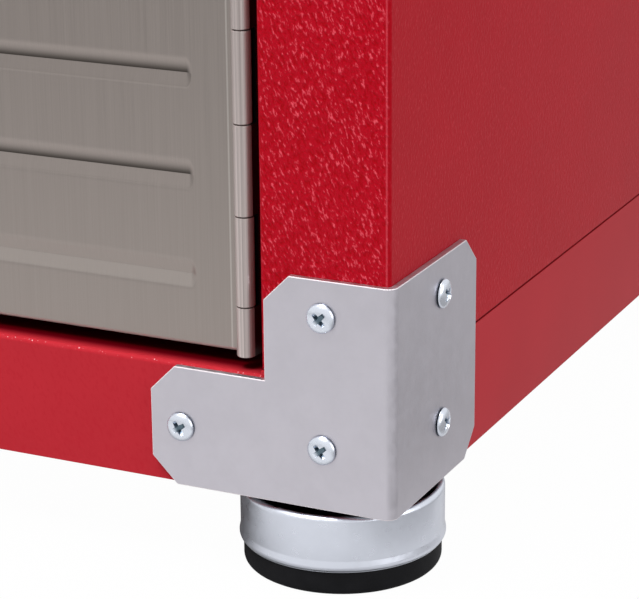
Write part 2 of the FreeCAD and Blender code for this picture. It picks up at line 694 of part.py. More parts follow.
def lock_plug():
    """Turning plug with a keyway."""
    front = V(HANDLE_X, PLUG_FRONT, LOCK_Z)
    plug = Part.makeCylinder(PLUG_R, BARREL_BACK + PLUG_REAR - PLUG_FRONT, front, Y_AXIS)
    keyway = block(
        HANDLE_X - KEYWAY_W / 2, HANDLE_X + KEYWAY_W / 2, PLUG_FRONT, PLUG_FRONT + KEYWAY_DEPTH,
        LOCK_Z - KEYWAY_H / 2, LOCK_Z + KEYWAY_H / 2,
    )
    return plug.cut(keyway)


def lock_cam():
    """Cam behind the door that turns up behind the lip of the mid rail."""
    half = CAM_W / 2
    rear = CAM_FRONT + CAM_T
    centre = V(HANDLE_X, CAM_FRONT, LOCK_Z)
    cam = block(HANDLE_X, HANDLE_X + CAM_LENGTH, CAM_FRONT, rear, LOCK_Z - half, LOCK_Z + half)
    cam = cam.fuse(Part.makeCylinder(half, CAM_T, centre, Y_AXIS)).removeSplitter()
    return cam.cut(Part.makeCylinder(PLUG_R + PLUG_PLAY, CAM_T, centre, Y_AXIS))


def lock_hole():
    """Round hole through the door for the lock barrel."""
    return Part.makeCylinder(LOCK_BARREL_R + LOCK_PLAY, DOOR_T, V(HANDLE_X, DOOR_FACE, LOCK_Z), Y_AXIS)


def catch_magnet():
    """Magnet in the mouth of the right catch."""
    half = MAGNET_W / 2
    rear = MID_RAIL_BACK + MAGNET_T
    z = MID_RAIL_BOTTOM - CATCH_BELOW + MAGNET_UP
    return block(CATCH_X - half, CATCH_X + half, MID_RAIL_BACK, rear, z, z + MAGNET_H)


def catch_housing():
    """Right catch housing on the rear lip of the mid rail."""
    half = CATCH_W / 2
    housing = block(
        CATCH_X - half, CATCH_X + half, MID_RAIL_BACK, MID_RAIL_BACK + CATCH_D,
        MID_RAIL_BOTTOM - CATCH_BELOW, MID_RAIL_BOTTOM + CATCH_LAP,
    )
    return housing.cut(catch_magnet())


def door_strike():
    """Strike plate on the back of the right door, facing the magnet."""
    half = STRIKE_W / 2
    top = DOOR_TOP - STRIKE_DROP
    return block(CATCH_X - half, CATCH_X + half, DOOR_BACK, DOOR_BACK + STRIKE_T, top - STRIKE_H, top)


# --- Shelf ------------------------------------------------------------------------------------------
def shelf():
    """Adjustable shelf: a folded tray turned upside down."""
    half = STANDARD_FACE - SHELF_PLAY
    y0 = FRONT + SHELF_FRONT
    y1 = BACK_FRONT - SHELF_REAR_PLAY
    top = BOTTOM + SHELF_Z
    s = SHELF_SHEET
    outer = block(-half, half, y0, y1, top - SHELF_EDGE, top)
    return outer.cut(block(-half + s, half - s, y0 + s, y1 - s, top - SHELF_EDGE, top - s))


def standard(y):
    """Right slotted standard centred at depth y."""
    bar = block(
        STANDARD_FACE, SIDE_INNER, y - STANDARD_W / 2, y + STANDARD_W / 2,
        BOTTOM + STANDARD_BOTTOM, BOTTOM + STANDARD_TOP,
    )
    count = int((STANDARD_TOP - STANDARD_BOTTOM) / SLOT_PITCH)
    slots = []
    for i in range(count):
        z = slot_bottom(i)
        slots.append(block(STANDARD_FACE, SIDE_INNER, y - SLOT_W / 2, y + SLOT_W / 2, z, z + SLOT_H))
    return bar.cut(Part.makeCompound(slots))


def slot_bottom(i):
    """Height of the lower end of slot i, set so that one slot carries the shelf's clips."""
    clip_slot = BOTTOM + SHELF_Z - SHELF_EDGE - CLIP_H
    lowest = BOTTOM + STANDARD_BOTTOM + SLOT_H / 2
    offset = (clip_slot - lowest) % SLOT_PITCH
    return lowest + offset + i * SLOT_PITCH


def shelf_clip(y):
    """Right shelf clip: a ledge under the shelf's edge, hooked into a slot."""
    top = BOTTOM + SHELF_Z - SHELF_EDGE
    bottom = top - CLIP_H
    clip = block(STANDARD_FACE - CLIP_REACH, STANDARD_FACE, y - CLIP_W / 2, y + CLIP_W / 2, bottom, top)
    tongue_half = SLOT_W / 2 - TONGUE_PLAY
    tongue = block(
        STANDARD_FACE, SIDE_INNER - TONGUE_PLAY, y - tongue_half, y + tongue_half,
        bottom + TONGUE_PLAY, bottom + SLOT_H - TONGUE_PLAY,
    )
    return clip.fuse(tongue)


# --- Drawer -----------------------------------------------------------------------------------------
def drawer_box():
    """Folded steel tray behind the drawer front."""
    t = DRAWER_SHEET
    back = BOX_FRONT + DRAWER_BOX_D
    top = BOX_BOTTOM + DRAWER_BOX_H
    outer = block(-BOX_SIDE, BOX_SIDE, BOX_FRONT, back, BOX_BOTTOM, top)
    return outer.cut(block(-BOX_SIDE + t, BOX_SIDE - t, BOX_FRONT + t, back - t, BOX_BOTTOM + t, top))


def drawer_mat():
    """Ribbed rubber mat on the floor of the drawer."""
    edge = DRAWER_SHEET + MAT_PLAY
    z = BOX_BOTTOM + DRAWER_SHEET
    return block(
        -BOX_SIDE + edge, BOX_SIDE - edge, BOX_FRONT + edge, BOX_FRONT + DRAWER_BOX_D - edge, z, z + MAT_T
    )


def channel(web_outer, tip, height, web_on_high_x):
    """Slide member: a C of the given height, its web on one side and flange tips on the other."""
    half = height / 2
    z0 = SLIDE_Z - half
    z1 = SLIDE_Z + half
    y = BOX_FRONT
    points = [V(tip, y, z0), V(web_outer, y, z0), V(web_outer, y, z1), V(tip, y, z1)]
    axis = -Y_AXIS if web_on_high_x else Y_AXIS
    return bent_sheet(points, axis, SLIDE_SHEET, BODY_BEND, Y_AXIS * SLIDE_LENGTH)


def slide_outer():
    """Outer slide member, fixed to the runner plate."""
    return channel(OPENING, BOX_SIDE + SLIDE_TIP, SLIDE_H, True)


def slide_middle():
    """Middle slide member, which travels half as far as the drawer."""
    height = SLIDE_H - 2 * (SLIDE_SHEET + SLIDE_PLAY)
    return channel(OPENING - SLIDE_SHEET - SLIDE_PLAY, BOX_SIDE + SLIDE_TIP, height, True)


def slide_inner():
    """Inner slide member, fixed to the side of the drawer box."""
    height = SLIDE_H - 4 * (SLIDE_SHEET + SLIDE_PLAY)
    return channel(BOX_SIDE, OPENING - 2 * (SLIDE_SHEET + SLIDE_PLAY), height, False)


def pair(shape):
    """A right-hand piece and its mirror image, as one group."""
    return Part.makeCompound([shape, mirrored(shape)])


# --- Build ------------------------------------------------------------------------------------------
def build():
    """Every node by name."""
    nodes = {}
    holes = screw_holes()
    right_panel = side_panel().cut(holes)
    right_skirt = base_skirt().cut(holes)
    nodes["right_side_panel"] = right_panel
    nodes["left_side_panel"] = mirrored(right_panel)
    nodes["base_right_skirt"] = right_skirt
    nodes["base_left_skirt"] = mirrored(right_skirt)
    front_rail = base_rail().cut(holes)
    nodes["base_front_rail"] = front_rail
    nodes["base_rear_rail"] = front_rail.mirror(V(0, (FRONT + REAR) / 2, 0), Y_AXIS)
    nodes["top_panel"] = top_panel().cut(holes)
    nodes["cabinet_floor"] = cabinet_floor()
    nodes["divider_panel"] = divider_panel()
    nodes["back_panel"] = back_panel()
    nodes["mid_rail"] = mid_rail()
    nodes["right_door_jamb"] = door_jamb()
    nodes["left_door_jamb"] = mirrored(nodes["right_door_jamb"])
    nodes["runner_plates"] = pair(runner_plate())

    brackets = corner_copies(corner_bracket())
    low_brackets = [bracket for bracket in brackets if bracket.BoundBox.ZMin < TOP / 2]
    high_brackets = [bracket for bracket in brackets if bracket.BoundBox.ZMin > TOP / 2]
    nodes["bottom_corner_brackets"] = Part.makeCompound(low_brackets)
    nodes["top_corner_brackets"] = Part.makeCompound(high_brackets)
    screws = []
    nuts = []
    for point, outward in bracket_screw_places():
        screws += corner_copies(bracket_screw(point, outward))
        nuts += corner_copies(bracket_nut(point, outward))
    nodes["bracket_screws"] = Part.makeCompound(screws)
    nodes["bracket_nuts"] = Part.makeCompound(nuts)

    plates = []
    jam_nuts = []
    for depth_name, y in (("front", FRONT + FOOT_INSET), ("rear", REAR - FOOT_INSET)):
        for side_name, x in (("right", SIDE - FOOT_INSET), ("left", FOOT_INSET - SIDE)):
            centre = V(x, y, 0)
            nodes[f"{depth_name}_{side_name}_foot_cup"] = foot_cup(centre)
            nodes[f"{depth_name}_{side_name}_foot_pad"] = foot_pad(centre)
            plates.append(foot_plate(centre))
            jam_nuts.append(jam_nut(centre))
    nodes["foot_plates"] = Part.makeCompound(plates)
    nodes["foot_jam_nuts"] = Part.makeCompound(jam_nuts)

    skin = ribbed_skin(DOOR_INNER, DOOR_OUTER, DOOR_BOTTOM, DOOR_TOP, DOOR_T, DOOR_RIBS)
    pan = inner_pan(DOOR_INNER, DOOR_OUTER, DOOR_BOTTOM, DOOR_TOP, DOOR_BACK)
    half_span = Z_AXIS * (HANDLE_PITCHES * RIB_PITCH / 2)
    grip = V(HANDLE_X, DOOR_FACE, HANDLE_Z)
    door_leaf = hinge_leaf(1, DOOR_OUTER, DOOR_BOTTOM, DOOR_TOP)
    frame_leaf = hinge_leaf(0, JAMB_X - HINGE_SHEET, HINGE_BOTTOM, HINGE_TOP)
    doubled = {
        "door_pan": pan,
        "door_handle": handle(grip - half_span, grip + half_span),
        "door_hinge_leaf": door_leaf,
        "door_strike": door_strike(),
        "frame_hinge_leaf": frame_leaf,
        "hinge_pin": hinge_pin(),
    }
    for name, shape in doubled.items():
        nodes["right_" + name] = shape
        nodes["left_" + name] = mirrored(shape)
    nodes["right_door_skin"] = skin.cut(lock_hole())
    nodes["left_door_skin"] = mirrored(skin)
    nodes["right_door_pan"] = pan.cut(lock_hole())
    nodes["lock_housing"] = lock_housing()
    nodes["lock_plug"] = lock_plug()
    nodes["lock_cam"] = lock_cam()
    nodes["catch_housings"] = pair(catch_housing())
    nodes["catch_magnets"] = pair(catch_magnet())

    nodes["shelf"] = shelf()
    depths = (FRONT + STANDARD_FRONT, FRONT + STANDARD_REAR)
    nodes["shelf_standards"] = Part.makeCompound([s for y in depths for s in pair(standard(y)).Solids])
    nodes["shelf_clips"] = Part.makeCompound([s for y in depths for s in pair(shelf_clip(y)).Solids])

    outline = (-DRAWER_FRONT_SIDE, DRAWER_FRONT_SIDE, DRAWER_BOTTOM, DRAWER_TOP)
    nodes["drawer_front"] = ribbed_skin(*outline, DRAWER_FRONT_T, DRAWER_RIBS)
    nodes["drawer_front_pan"] = inner_pan(*outline, BOX_FRONT)
    half_bar = X_AXIS * (DRAWER_HANDLE_SPAN / 2)
    drawer_grip = V(0, DOOR_FACE, DRAWER_BOTTOM + RIB_MARGIN + DRAWER_HANDLE_PITCH * RIB_PITCH)
    nodes["drawer_handle"] = handle(drawer_grip - half_bar, drawer_grip + half_bar)
    nodes["drawer_box"] = drawer_box()
    nodes["drawer_mat"] = drawer_mat()
    nodes["slide_outer_members"] = pair(slide_outer())
    nodes["slide_middle_members"] = pair(slide_middle())
    nodes["slide_inner_members"] = pair(slide_inner())
    return nodes


def main():
    """Build every node, write its file and print its size."""
    os.makedirs("parts", exist_ok=True)
    for name, shape in build().items():
        save(name, shape)
        box = shape.BoundBox
        print(
            f"{name}: {len(shape.Solids)} solids, valid {shape.isValid()}, volume {shape.Volume:.0f}, "
            f"x {box.XMin:.2f} {box.XMax:.2f} y {box.YMin:.2f} {box.YMax:.2f} "
            f"z {box.ZMin:.2f} {box.ZMax:.2f}"
        )


if __name__ == "__main__":
    main()
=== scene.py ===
"""Looks of a steel tool cabinet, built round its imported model.

Metres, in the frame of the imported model: X is the width, Y the depth with the front at -Y, Z up.
Right means +X, as seen from the front. Sizes written here are millimetres times MM.
"""

import json
import logging
import math
from collections.abc import Callable, Sequence
from dataclasses import dataclass, field
from enum import Enum

import bmesh
import bpy
from mathutils import Matrix, Vector


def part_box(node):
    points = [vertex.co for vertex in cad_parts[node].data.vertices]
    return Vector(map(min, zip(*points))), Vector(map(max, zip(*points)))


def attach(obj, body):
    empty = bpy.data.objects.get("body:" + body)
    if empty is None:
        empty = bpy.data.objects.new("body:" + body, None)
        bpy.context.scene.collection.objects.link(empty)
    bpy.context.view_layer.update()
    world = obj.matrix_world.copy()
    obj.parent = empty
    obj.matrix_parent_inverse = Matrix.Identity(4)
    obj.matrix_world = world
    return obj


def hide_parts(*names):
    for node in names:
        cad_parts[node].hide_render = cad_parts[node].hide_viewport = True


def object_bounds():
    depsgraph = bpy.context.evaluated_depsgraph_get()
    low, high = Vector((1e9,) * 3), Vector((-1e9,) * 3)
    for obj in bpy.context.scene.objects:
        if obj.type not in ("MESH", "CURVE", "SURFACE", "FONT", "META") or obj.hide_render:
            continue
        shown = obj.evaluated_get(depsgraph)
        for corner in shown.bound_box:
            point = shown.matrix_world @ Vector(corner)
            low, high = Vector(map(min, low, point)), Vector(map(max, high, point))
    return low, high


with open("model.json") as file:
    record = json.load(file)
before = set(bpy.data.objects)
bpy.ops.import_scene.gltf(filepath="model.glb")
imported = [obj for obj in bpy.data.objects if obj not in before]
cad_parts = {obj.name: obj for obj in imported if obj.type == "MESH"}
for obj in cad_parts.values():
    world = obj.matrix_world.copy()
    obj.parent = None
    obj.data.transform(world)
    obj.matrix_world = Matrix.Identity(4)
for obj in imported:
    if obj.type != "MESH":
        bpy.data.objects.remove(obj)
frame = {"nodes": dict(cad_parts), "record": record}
CAD_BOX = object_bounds()

MM = 0.001
X_AXIS = Vector((1, 0, 0))
Y_AXIS = Vector((0, 1, 0))
Z_AXIS = Vector((0, 0, 1))
EDGE_LAYER = "edge"
# Vertex layer of painted shade and painted highlights: creases, recesses, gaps, the doors' shadow,
# lit slopes and folds.
SHADE_AND_LIGHT_LAYER = "groove"
LOG = logging.getLogger("tool_cabinet")

Colour = tuple[float, float, float]
Pair = tuple[float, float]

WHITE: Colour = (1.0, 1.0, 1.0)
HAIR = 0.001 * MM  # two places nearer than this are one
FIXED_BODY = "cabinet"


class Side(Enum):
    """Which side of the cabinet a piece is on, as the sign of its X."""

    RIGHT = 1
    LEFT = -1

    @property
    def word(self) -> str:
        """The side as it stands in node names."""
        return self.name.lower()


# --- Meshes ---------------------------------------------------------------------------------------
class Shape:
    """A mesh in the making."""

    def __init__(self) -> None:
        """Starts an empty mesh with the face layer that marks softened edges."""
        self.mesh = bmesh.new()
        self.mesh.faces.layers.float.new(EDGE_LAYER)

    def ring(self, points: Sequence[Vector]) -> list[bmesh.types.BMVert]:
        """Adds a row of points and returns its vertices."""
        return [self.mesh.verts.new(point) for point in points]

    def bridge(self, first: list, second: list, closed: bool = True) -> None:
        """Joins two rows with faces; a row of one vertex is a pole.

        Args:
            first: Vertices of one row.
            second: Vertices of the other row, as many as the first or one.
            closed: Whether the rows are rings.
        """
        if len(first) == 1:
            first, second = second, first
        count = len(first)
        for i in range(count if closed else count - 1):
            j = (i + 1) % count
            corners = [first[i], first[j]]
            corners += second if len(second) == 1 else [second[j], second[i]]
            self.mesh.faces.new(corners)

    def face(self, corners: Sequence[bmesh.types.BMVert]) -> None:
        """Closes an outline with one face."""
        self.mesh.faces.new(corners)

    def marks(self) -> bmesh.types.BMLayerItem:
        """The vertex layer of painted shade (above 0) and painted highlight (below 0) that the
        finishes read.
        """
        layers = self.mesh.verts.layers.float
        return layers.get(SHADE_AND_LIGHT_LAYER) or layers.new(SHADE_AND_LIGHT_LAYER)

    def closed(self) -> "Shape":
        """Turns all faces outwards and returns the shape."""
        bmesh.ops.recalc_face_normals(self.mesh, faces=self.mesh.faces[:])
        return self

    def soften(self, width: float, segments: int = 2, angle: float = 40.0) -> "Shape":
        """Rounds every edge that is sharper than an angle, and marks the new faces.

        Args:
            width: Width of the rounding.
            segments: Faces across the rounding.
            angle: Angle between two faces, in degrees, from which their edge is rounded.

        Returns:
            The shape itself.
        """
        limit = math.radians(angle)
        edges = [e for e in self.mesh.edges if e.is_manifold and e.calc_face_angle() > limit]
        made = bmesh.ops.bevel(
            self.mesh, geom=edges, offset=width, offset_type="OFFSET", segments=segments,
            profile=0.5, affect="EDGES", clamp_overlap=True,
        )
        layer = self.mesh.faces.layers.float[EDGE_LAYER]
        for face in made["faces"]:
            face[layer] = 1.0
        return self

    def changed(self, change: Matrix) -> "Shape":
        """Returns a copy put through a matrix; a mirror keeps its faces outwards.

        Args:
            change: The matrix.

        Returns:
            The changed copy.
        """
        copy = Shape()
        copy.mesh.free()
        copy.mesh = self.mesh.copy()
        bmesh.ops.transform(copy.mesh, matrix=change, verts=copy.mesh.verts[:])
        if change.determinant() < 0:
            bmesh.ops.reverse_faces(copy.mesh, faces=copy.mesh.faces[:])
        return copy

    def add(self, other: "Shape") -> None:
        """Takes another shape into this one.

        Args:
            other: Shape to take in, which stays as it is.
        """
        carrier = bpy.data.meshes.new("carrier")
        other.mesh.to_mesh(carrier)
        self.mesh.from_mesh(carrier)
        bpy.data.meshes.remove(carrier)

    def piece(self, name: str, sharp: float = 35.0) -> bpy.types.Object:
        """Makes the object, smooth except along its sharp edges.

        Args:
            name: Name of the object.
            sharp: Angle in degrees from which an edge stays sharp.

        Returns:
            The new object, linked to the scene.
        """
        data = bpy.data.meshes.new(name)
        self.mesh.to_mesh(data)
        data.shade_smooth()
        data.set_sharp_from_angle(angle=math.radians(sharp))
        piece = bpy.data.objects.new(name, data)
        bpy.context.scene.collection.objects.link(piece)
        weighted = piece.modifiers.new("flat_faces_stay_flat", "WEIGHTED_NORMAL")
        weighted.keep_sharp = True
        return piece


def mirror(normal: Vector, middle: Vector = Vector()) -> Matrix:
    """Matrix that mirrors in the plane through middle with that normal."""
    away = Matrix.Translation(middle)
    return away @ Matrix.Scale(-1, 4, normal) @ away.inverted()


def spread(start: float, stop: float, count: int) -> list[float]:
    """Evenly spaced values from start to stop, both included."""
    return [start + (stop - start) * i / (count - 1) for i in range(count)]


def arc(centre: Pair, radius: float, start: float, stop: float, count: int) -> list[Pair]:
    """Points along an arc in a plane.

    Args:
        centre: Centre of the arc.
        radius: Its radius.
        start: First angle, in degrees from the plane's first axis.
        stop: Last angle.
        count: Number of points.

    Returns:
        The points, both ends included.
    """
    angles = [math.radians(turn) for turn in spread(start, stop, count)]
    return [(centre[0] + radius * math.cos(a), centre[1] + radius * math.sin(a)) for a in angles]


def rounded(points: Sequence[Vector], radii: Sequence[float], steps: int) -> list[Vector]:
    """Line through points in a plane, with an arc at each corner.

    Args:
        points: Ends and corners of the line.
        radii: Radius at each corner.
        steps: Segments in each arc.

    Returns:
        The points of the rounded line.
    """
    line = [points[0]]
    for corner, radius, before, after in zip(points[1:-1], radii, points, points[2:]):
        back = (before - corner).normalized()
        ahead = (after - corner).normalized()
        half = back.angle(ahead) / 2
        centre = corner + (back + ahead).normalized() * (radius / math.sin(half))
        reach = radius / math.tan(half)
        start = corner + back * reach - centre
        stop = corner + ahead * reach - centre
        sweep = math.atan2(start.x * stop.y - start.y * stop.x, start.dot(stop))
        for i in range(steps + 1):
            turn = Matrix.Rotation(sweep * i / steps, 2)
            line.append(centre + turn @ start)
    line.append(points[-1])
    return line


@dataclass(frozen=True)
class Fold:
    """A folded sheet: its outer face runs along a path, and the metal lies on the path's left."""

    path: tuple[Pair, ...]
    sheet: float
    bend: float
    steps: int = 6

    def outline(self) -> list[Vector]:
        """Closed outline of the section.

        Returns:
            Points of the outer face's line, then of the inner face's line back.
        """
        points = [Vector(point) for point in self.path]
        ways = [(b - a).normalized() for a, b in zip(points, points[1:])]
        lefts = [Vector((-way.y, way.x)) for way in ways]
        inner = [points[0] + lefts[0] * self.sheet]
        radii: list[float] = []
        inner_radii: list[float] = []
        for i, corner in enumerate(points[1:-1]):
            share = self.sheet / (1 + lefts[i].dot(lefts[i + 1]))
            inner.append(corner + (lefts[i] + lefts[i + 1]) * share)
            turns_left = ways[i].x * ways[i + 1].y > ways[i].y * ways[i + 1].x
            tight = self.bend - self.sheet
            radii.append(self.bend if turns_left else tight)
            inner_radii.append(tight if turns_left else self.bend)
        inner.append(points[-1] + lefts[-1] * self.sheet)
        return rounded(points, radii, self.steps) + rounded(inner, inner_radii, self.steps)[::-1]

    def extruded(
        self, place: Callable[[Vector, float], Vector], start: float, stop: float
    ) -> Shape:
        """Solid between two heights of the section.

        Args:
            place: Gives the place in the frame of a section point and a height.
            start: First height.
            stop: Last height.

        Returns:
            The folded sheet.
        """
        outline = self.outline()
        return lofted([[place(point, height) for point in outline] for height in (start, stop)])


def lofted(rows: Sequence[Sequence[Vector]]) -> Shape:
    """Closed solid through rows of points, with a face over the first and the last row.

    Args:
        rows: Rows of as many points each.

    Returns:
        The closed solid.
    """
    shape = Shape()
    rings = [shape.ring(row) for row in rows]
    for first, second in zip(rings, rings[1:]):
        shape.bridge(first, second)
    shape.face(rings[0])
    shape.face(rings[-1])
    return shape.closed()


def plate(outline: Sequence[Vector], thickness: Vector) -> Shape:
    """Flat plate with any outline, drawn out by the vector thickness."""
    return lofted([outline, [point + thickness for point in outline]])


def block(low: Vector, high: Vector) -> Shape:
    """Box between two corners."""
    corners = (low.xy, (high.x, low.y), high.xy, (low.x, high.y))
    return plate([Vector((x, y, low.z)) for x, y in corners], Z_AXIS * (high.z - low.z))


def turned(
    profile: Sequence[Pair], foot: Vector, axis: Vector, sides: int, tube: bool = False
) -> Shape:
    """Turned solid.

    Args:
        profile: Pairs of radius and height; a radius of 0 is a pole on the axis.
        foot: Where the axis starts, at height 0.
        axis: Direction of the axis.
        sides: Faces round the axis.
        tube: Whether the last pair joins the first, as in a tube.

    Returns:
        The closed solid.
    """
    shape = Shape()
    stand = Matrix.Translation(foot) @ Z_AXIS.rotation_difference(axis).to_matrix().to_4x4()
    rings = []
    for radius, height in profile:
        count = sides if radius > 0 else 1
        angles = [math.tau * i / count for i in range(count)]
        points = [Vector((radius * math.cos(a), radius * math.sin(a), height)) for a in angles]
        rings.append(shape.ring([stand @ point for point in points]))
    if tube:
        rings.append(rings[0])
    for first, second in zip(rings, rings[1:]):
        shape.bridge(first, second)
    return shape.closed()


def swept(path: Sequence[Vector], radius: float, across: Vector, sides: int) -> Shape:
    """Round bar along a path in one plane.

    Args:
        path: Centre line.
        radius: Radius of the bar.
        across: Normal of the plane.
        sides: Faces round the bar.

    Returns:
        The closed bar.
    """
    angles = [math.tau * k / sides for k in range(sides)]
    rows = []
    for i, point in enumerate(path):
        before = path[max(i - 1, 0)]
        after = path[min(i + 1, len(path) - 1)]
        normal = across.cross((after - before).normalized())
        spokes = [(normal * math.cos(a) + across * math.sin(a)) * radius for a in angles]
        rows.append([point + spoke for spoke in spokes])
    return lofted(rows)


def carved(body: Shape, tool: Shape) -> Shape:
    """Cuts a tool out of a body and returns the result; both shapes are used up.

    Args:
        body: Shape to cut.
        tool: Shape that is cut out.

    Returns:
        What is left of the body.
    """
    pieces = [body.piece("carve_body"), tool.piece("carve_tool")]
    for piece in pieces:
        piece.modifiers.clear()
    cut = pieces[0].modifiers.new("cut", "BOOLEAN")
    cut.object = pieces[1]
    cut.solver = "EXACT"
    graph = bpy.context.evaluated_depsgraph_get()
    result = Shape()
    result.mesh.from_mesh(pieces[0].evaluated_get(graph).to_mesh())
    for piece in pieces:
        data = piece.data
        bpy.data.objects.remove(piece)
        bpy.data.meshes.remove(data)
    return result


# --- Shader nodes ---------------------------------------------------------------------------------
# Where the masks of the shared effects rise and fall.
NOISE_MIDDLE: Pair = (0.3, 0.7)
BLISTER_RISE: Pair = (0.56, 0.74)
HOLLOW_FALL: Pair = (0.30, 0.50)
LEVEL_FALL: Pair = (0.1, 0.3)
LINE_SLOPES: tuple[Pair, Pair] = ((0.08, 0.2), (0.4, 0.55))
BAND_SLOPES: tuple[Pair, Pair] = ((0.45, 0.65), (0.9, 0.98))
UPWARD_SLOPES: tuple[Pair, Pair] = ((0.35, 0.5), (0.8, 0.97))
GLINT_RISE: Pair = (0.66, 0.74)
BRUSH_DEPTH = 8.0  # how much wider the scratches are in Y than in X


class Nodes:
    """Short calls that add nodes to one node tree."""

    def __init__(self, tree: bpy.types.NodeTree) -> None:
        """Keeps the tree."""
        self.tree = tree

    def add(self, kind: str, inputs: dict | None = None, **settings: object) -> bpy.types.Node:
        """Adds a node.

        Args:
            kind: Type of the node, without its prefix ShaderNode.
            inputs: Values or output sockets, by input name or index.
            **settings: Properties of the node.

        Returns:
            The node.
        """
        node = self.tree.nodes.new(kind if kind.startswith("NodeGroup") else "ShaderNode" + kind)
        for key, value in settings.items():
            setattr(node, key, value)
        for key, value in (inputs or {}).items():
            self.feed(node.inputs[key], value)
        return node

    def feed(self, socket: bpy.types.NodeSocket, value: object) -> None:
        """Links an output socket to an input, or sets the input's own value.

        Args:
            socket: The input.
            value: An output socket, a number or a colour.
        """
        if isinstance(value, bpy.types.NodeSocket):
            self.tree.links.new(value, socket)
        elif socket.type == "RGBA":
            socket.default_value = (*value, 1.0)
        else:
            socket.default_value = value

    def math(self, operation: str, *values: object) -> bpy.types.NodeSocket:
        """Result of a Math node."""
        return self.add("Math", dict(enumerate(values)), operation=operation).outputs[0]

    def in_units(self, vector: object, unit: object) -> bpy.types.NodeSocket:
        """Vector measured in a unit, so that a noise on it has grains of that length."""
        scale = self.math("DIVIDE", 1.0, unit)
        return self.add("VectorMath", {0: vector, "Scale": scale}, operation="SCALE").outputs[0]

    def layer(self, name: str) -> bpy.types.NodeSocket:
        """Value of a layer of the mesh."""
        return self.add("Attribute", attribute_name=name).outputs["Fac"]

    def noise(
        self, vector: object, detail: float = 2.0, roughness: float = 0.5
    ) -> bpy.types.NodeSocket:
        """Soft noise of about unit grain, from 0 to 1."""
        settings = {"Vector": vector, "Scale": 1.0, "Detail": detail, "Roughness": roughness}
        return self.add("TexNoise", settings).outputs[0]

    def ramp(
        self, value: object, low: float, high: float, start: object = 0.0, stop: object = 1.0
    ) -> bpy.types.NodeSocket:
        """Value mapped from low..high to start..stop, smoothly and within those ends."""
        inputs = {0: value, 1: low, 2: high, 3: start, 4: stop}
        return self.add("MapRange", inputs, interpolation_type="SMOOTHSTEP").outputs[0]

    def between(self, value: object, slopes: tuple[Pair, Pair]) -> bpy.types.NodeSocket:
        """Mask that rises over the first slope and falls over the second."""
        rise, fall = slopes
        return self.math("MULTIPLY", self.ramp(value, *rise), self.ramp(value, *fall, 1.0, 0.0))

    def mix(self, share: object, first: object, second: object) -> bpy.types.NodeSocket:
        """Colour between two colours."""
        return self.add("Mix", {0: share, 6: first, 7: second}, data_type="RGBA").outputs[2]

    def effect(self, effect: "Effect", inputs: dict) -> bpy.types.Node:
        """Places a shared node group.

        Args:
            effect: The group.
            inputs: Values or output sockets, by input name.

        Returns:
            The group's node.
        """
        node = self.tree.nodes.new("ShaderNodeGroup")
        node.node_tree = effect.tree()
        for key, value in inputs.items():
            self.feed(node.inputs[key], value)
        return node


def hammer_texture(nodes: Nodes, start: bpy.types.Node, end: bpy.types.Node) -> None:
    """Blisters of a hammered powder coat, drawn out along Z and leaning over.

    Args:
        nodes: Node tree of the group.
        start: Its input node.
        end: Its output node.
    """
    parts = nodes.add("SeparateXYZ", {0: start.outputs["Position"]})
    lean = nodes.math("MULTIPLY", parts.outputs[2], start.outputs["Lean"])
    across = nodes.math("ADD", parts.outputs[0], lean)
    up = nodes.math("DIVIDE", parts.outputs[2], start.outputs["Stretch"])
    place = nodes.add("CombineXYZ", {0: across, 1: parts.outputs[1], 2: up}).outputs[0]
    height = nodes.noise(nodes.in_units(place, start.outputs["Grain"]))
    nodes.feed(end.inputs["Height"], height)
    nodes.feed(end.inputs["Blisters"], nodes.ramp(height, *BLISTER_RISE))
    nodes.feed(end.inputs["Hollows"], nodes.ramp(height, *HOLLOW_FALL, 1.0, 0.0))


def brush_lines(nodes: Nodes, start: bpy.types.Node, end: bpy.types.Node) -> None:
    """Fine parallel scratches along Z.

    Args:
        nodes: Node tree of the group.
        start: Its input node.
        end: Its output node.
    """
    parts = nodes.add("SeparateXYZ", {0: start.outputs["Position"]})
    width = start.outputs["Width"]
    across = nodes.math("DIVIDE", parts.outputs[0], width)
    deep = nodes.math("DIVIDE", parts.outputs[1], nodes.math("MULTIPLY", width, BRUSH_DEPTH))
    along = nodes.math("DIVIDE", parts.outputs[2], start.outputs["Length"])
    place = nodes.add("CombineXYZ", {0: across, 1: deep, 2: along})
    nodes.feed(end.inputs["Lines"], nodes.noise(place.outputs[0], detail=3.0, roughness=0.6))


def tone_mottle(nodes: Nodes, start: bpy.types.Node, end: bpy.types.Node) -> None:
    """Slow change of tone over a surface."""
    place = nodes.in_units(start.outputs["Position"], start.outputs["Patch"])
    nodes.feed(end.inputs["Tone"], nodes.noise(place, detail=3.0, roughness=0.55))


def bend_marks(nodes: Nodes, start: bpy.types.Node, end: bpy.types.Node) -> None:
    """Painted light where folded sheet turns a corner: a painted highlight line, a painted shade
    band, and painted glints on upward folds.

    Args:
        nodes: Node tree of the group.
        start: Its input node.
        end: Its output node.
    """
    normal_x, _, normal_z = nodes.add("SeparateXYZ", {0: start.outputs["Normal"]}).outputs
    position = start.outputs["Position"]
    across = nodes.add("SeparateXYZ", {0: position}).outputs[0]
    sideways = nodes.math("ABSOLUTE", normal_x)
    outward = nodes.math("GREATER_THAN", nodes.math("MULTIPLY", across, normal_x), 0.0)
    level = nodes.ramp(nodes.math("ABSOLUTE", normal_z), *LEVEL_FALL, outward, 0.0)
    line = nodes.between(sideways, LINE_SLOPES)
    shade_band = nodes.between(sideways, BAND_SLOPES)
    spots = nodes.ramp(nodes.noise(nodes.in_units(position, start.outputs["Grain"])), *GLINT_RISE)
    upward = nodes.between(normal_z, UPWARD_SLOPES)
    nodes.feed(end.inputs["Line"], nodes.math("MULTIPLY", line, level))
    nodes.feed(end.inputs["Band"], nodes.math("MULTIPLY", shade_band, level))
    nodes.feed(end.inputs["PaintedGlints"], nodes.math("MULTIPLY", spots, upward))


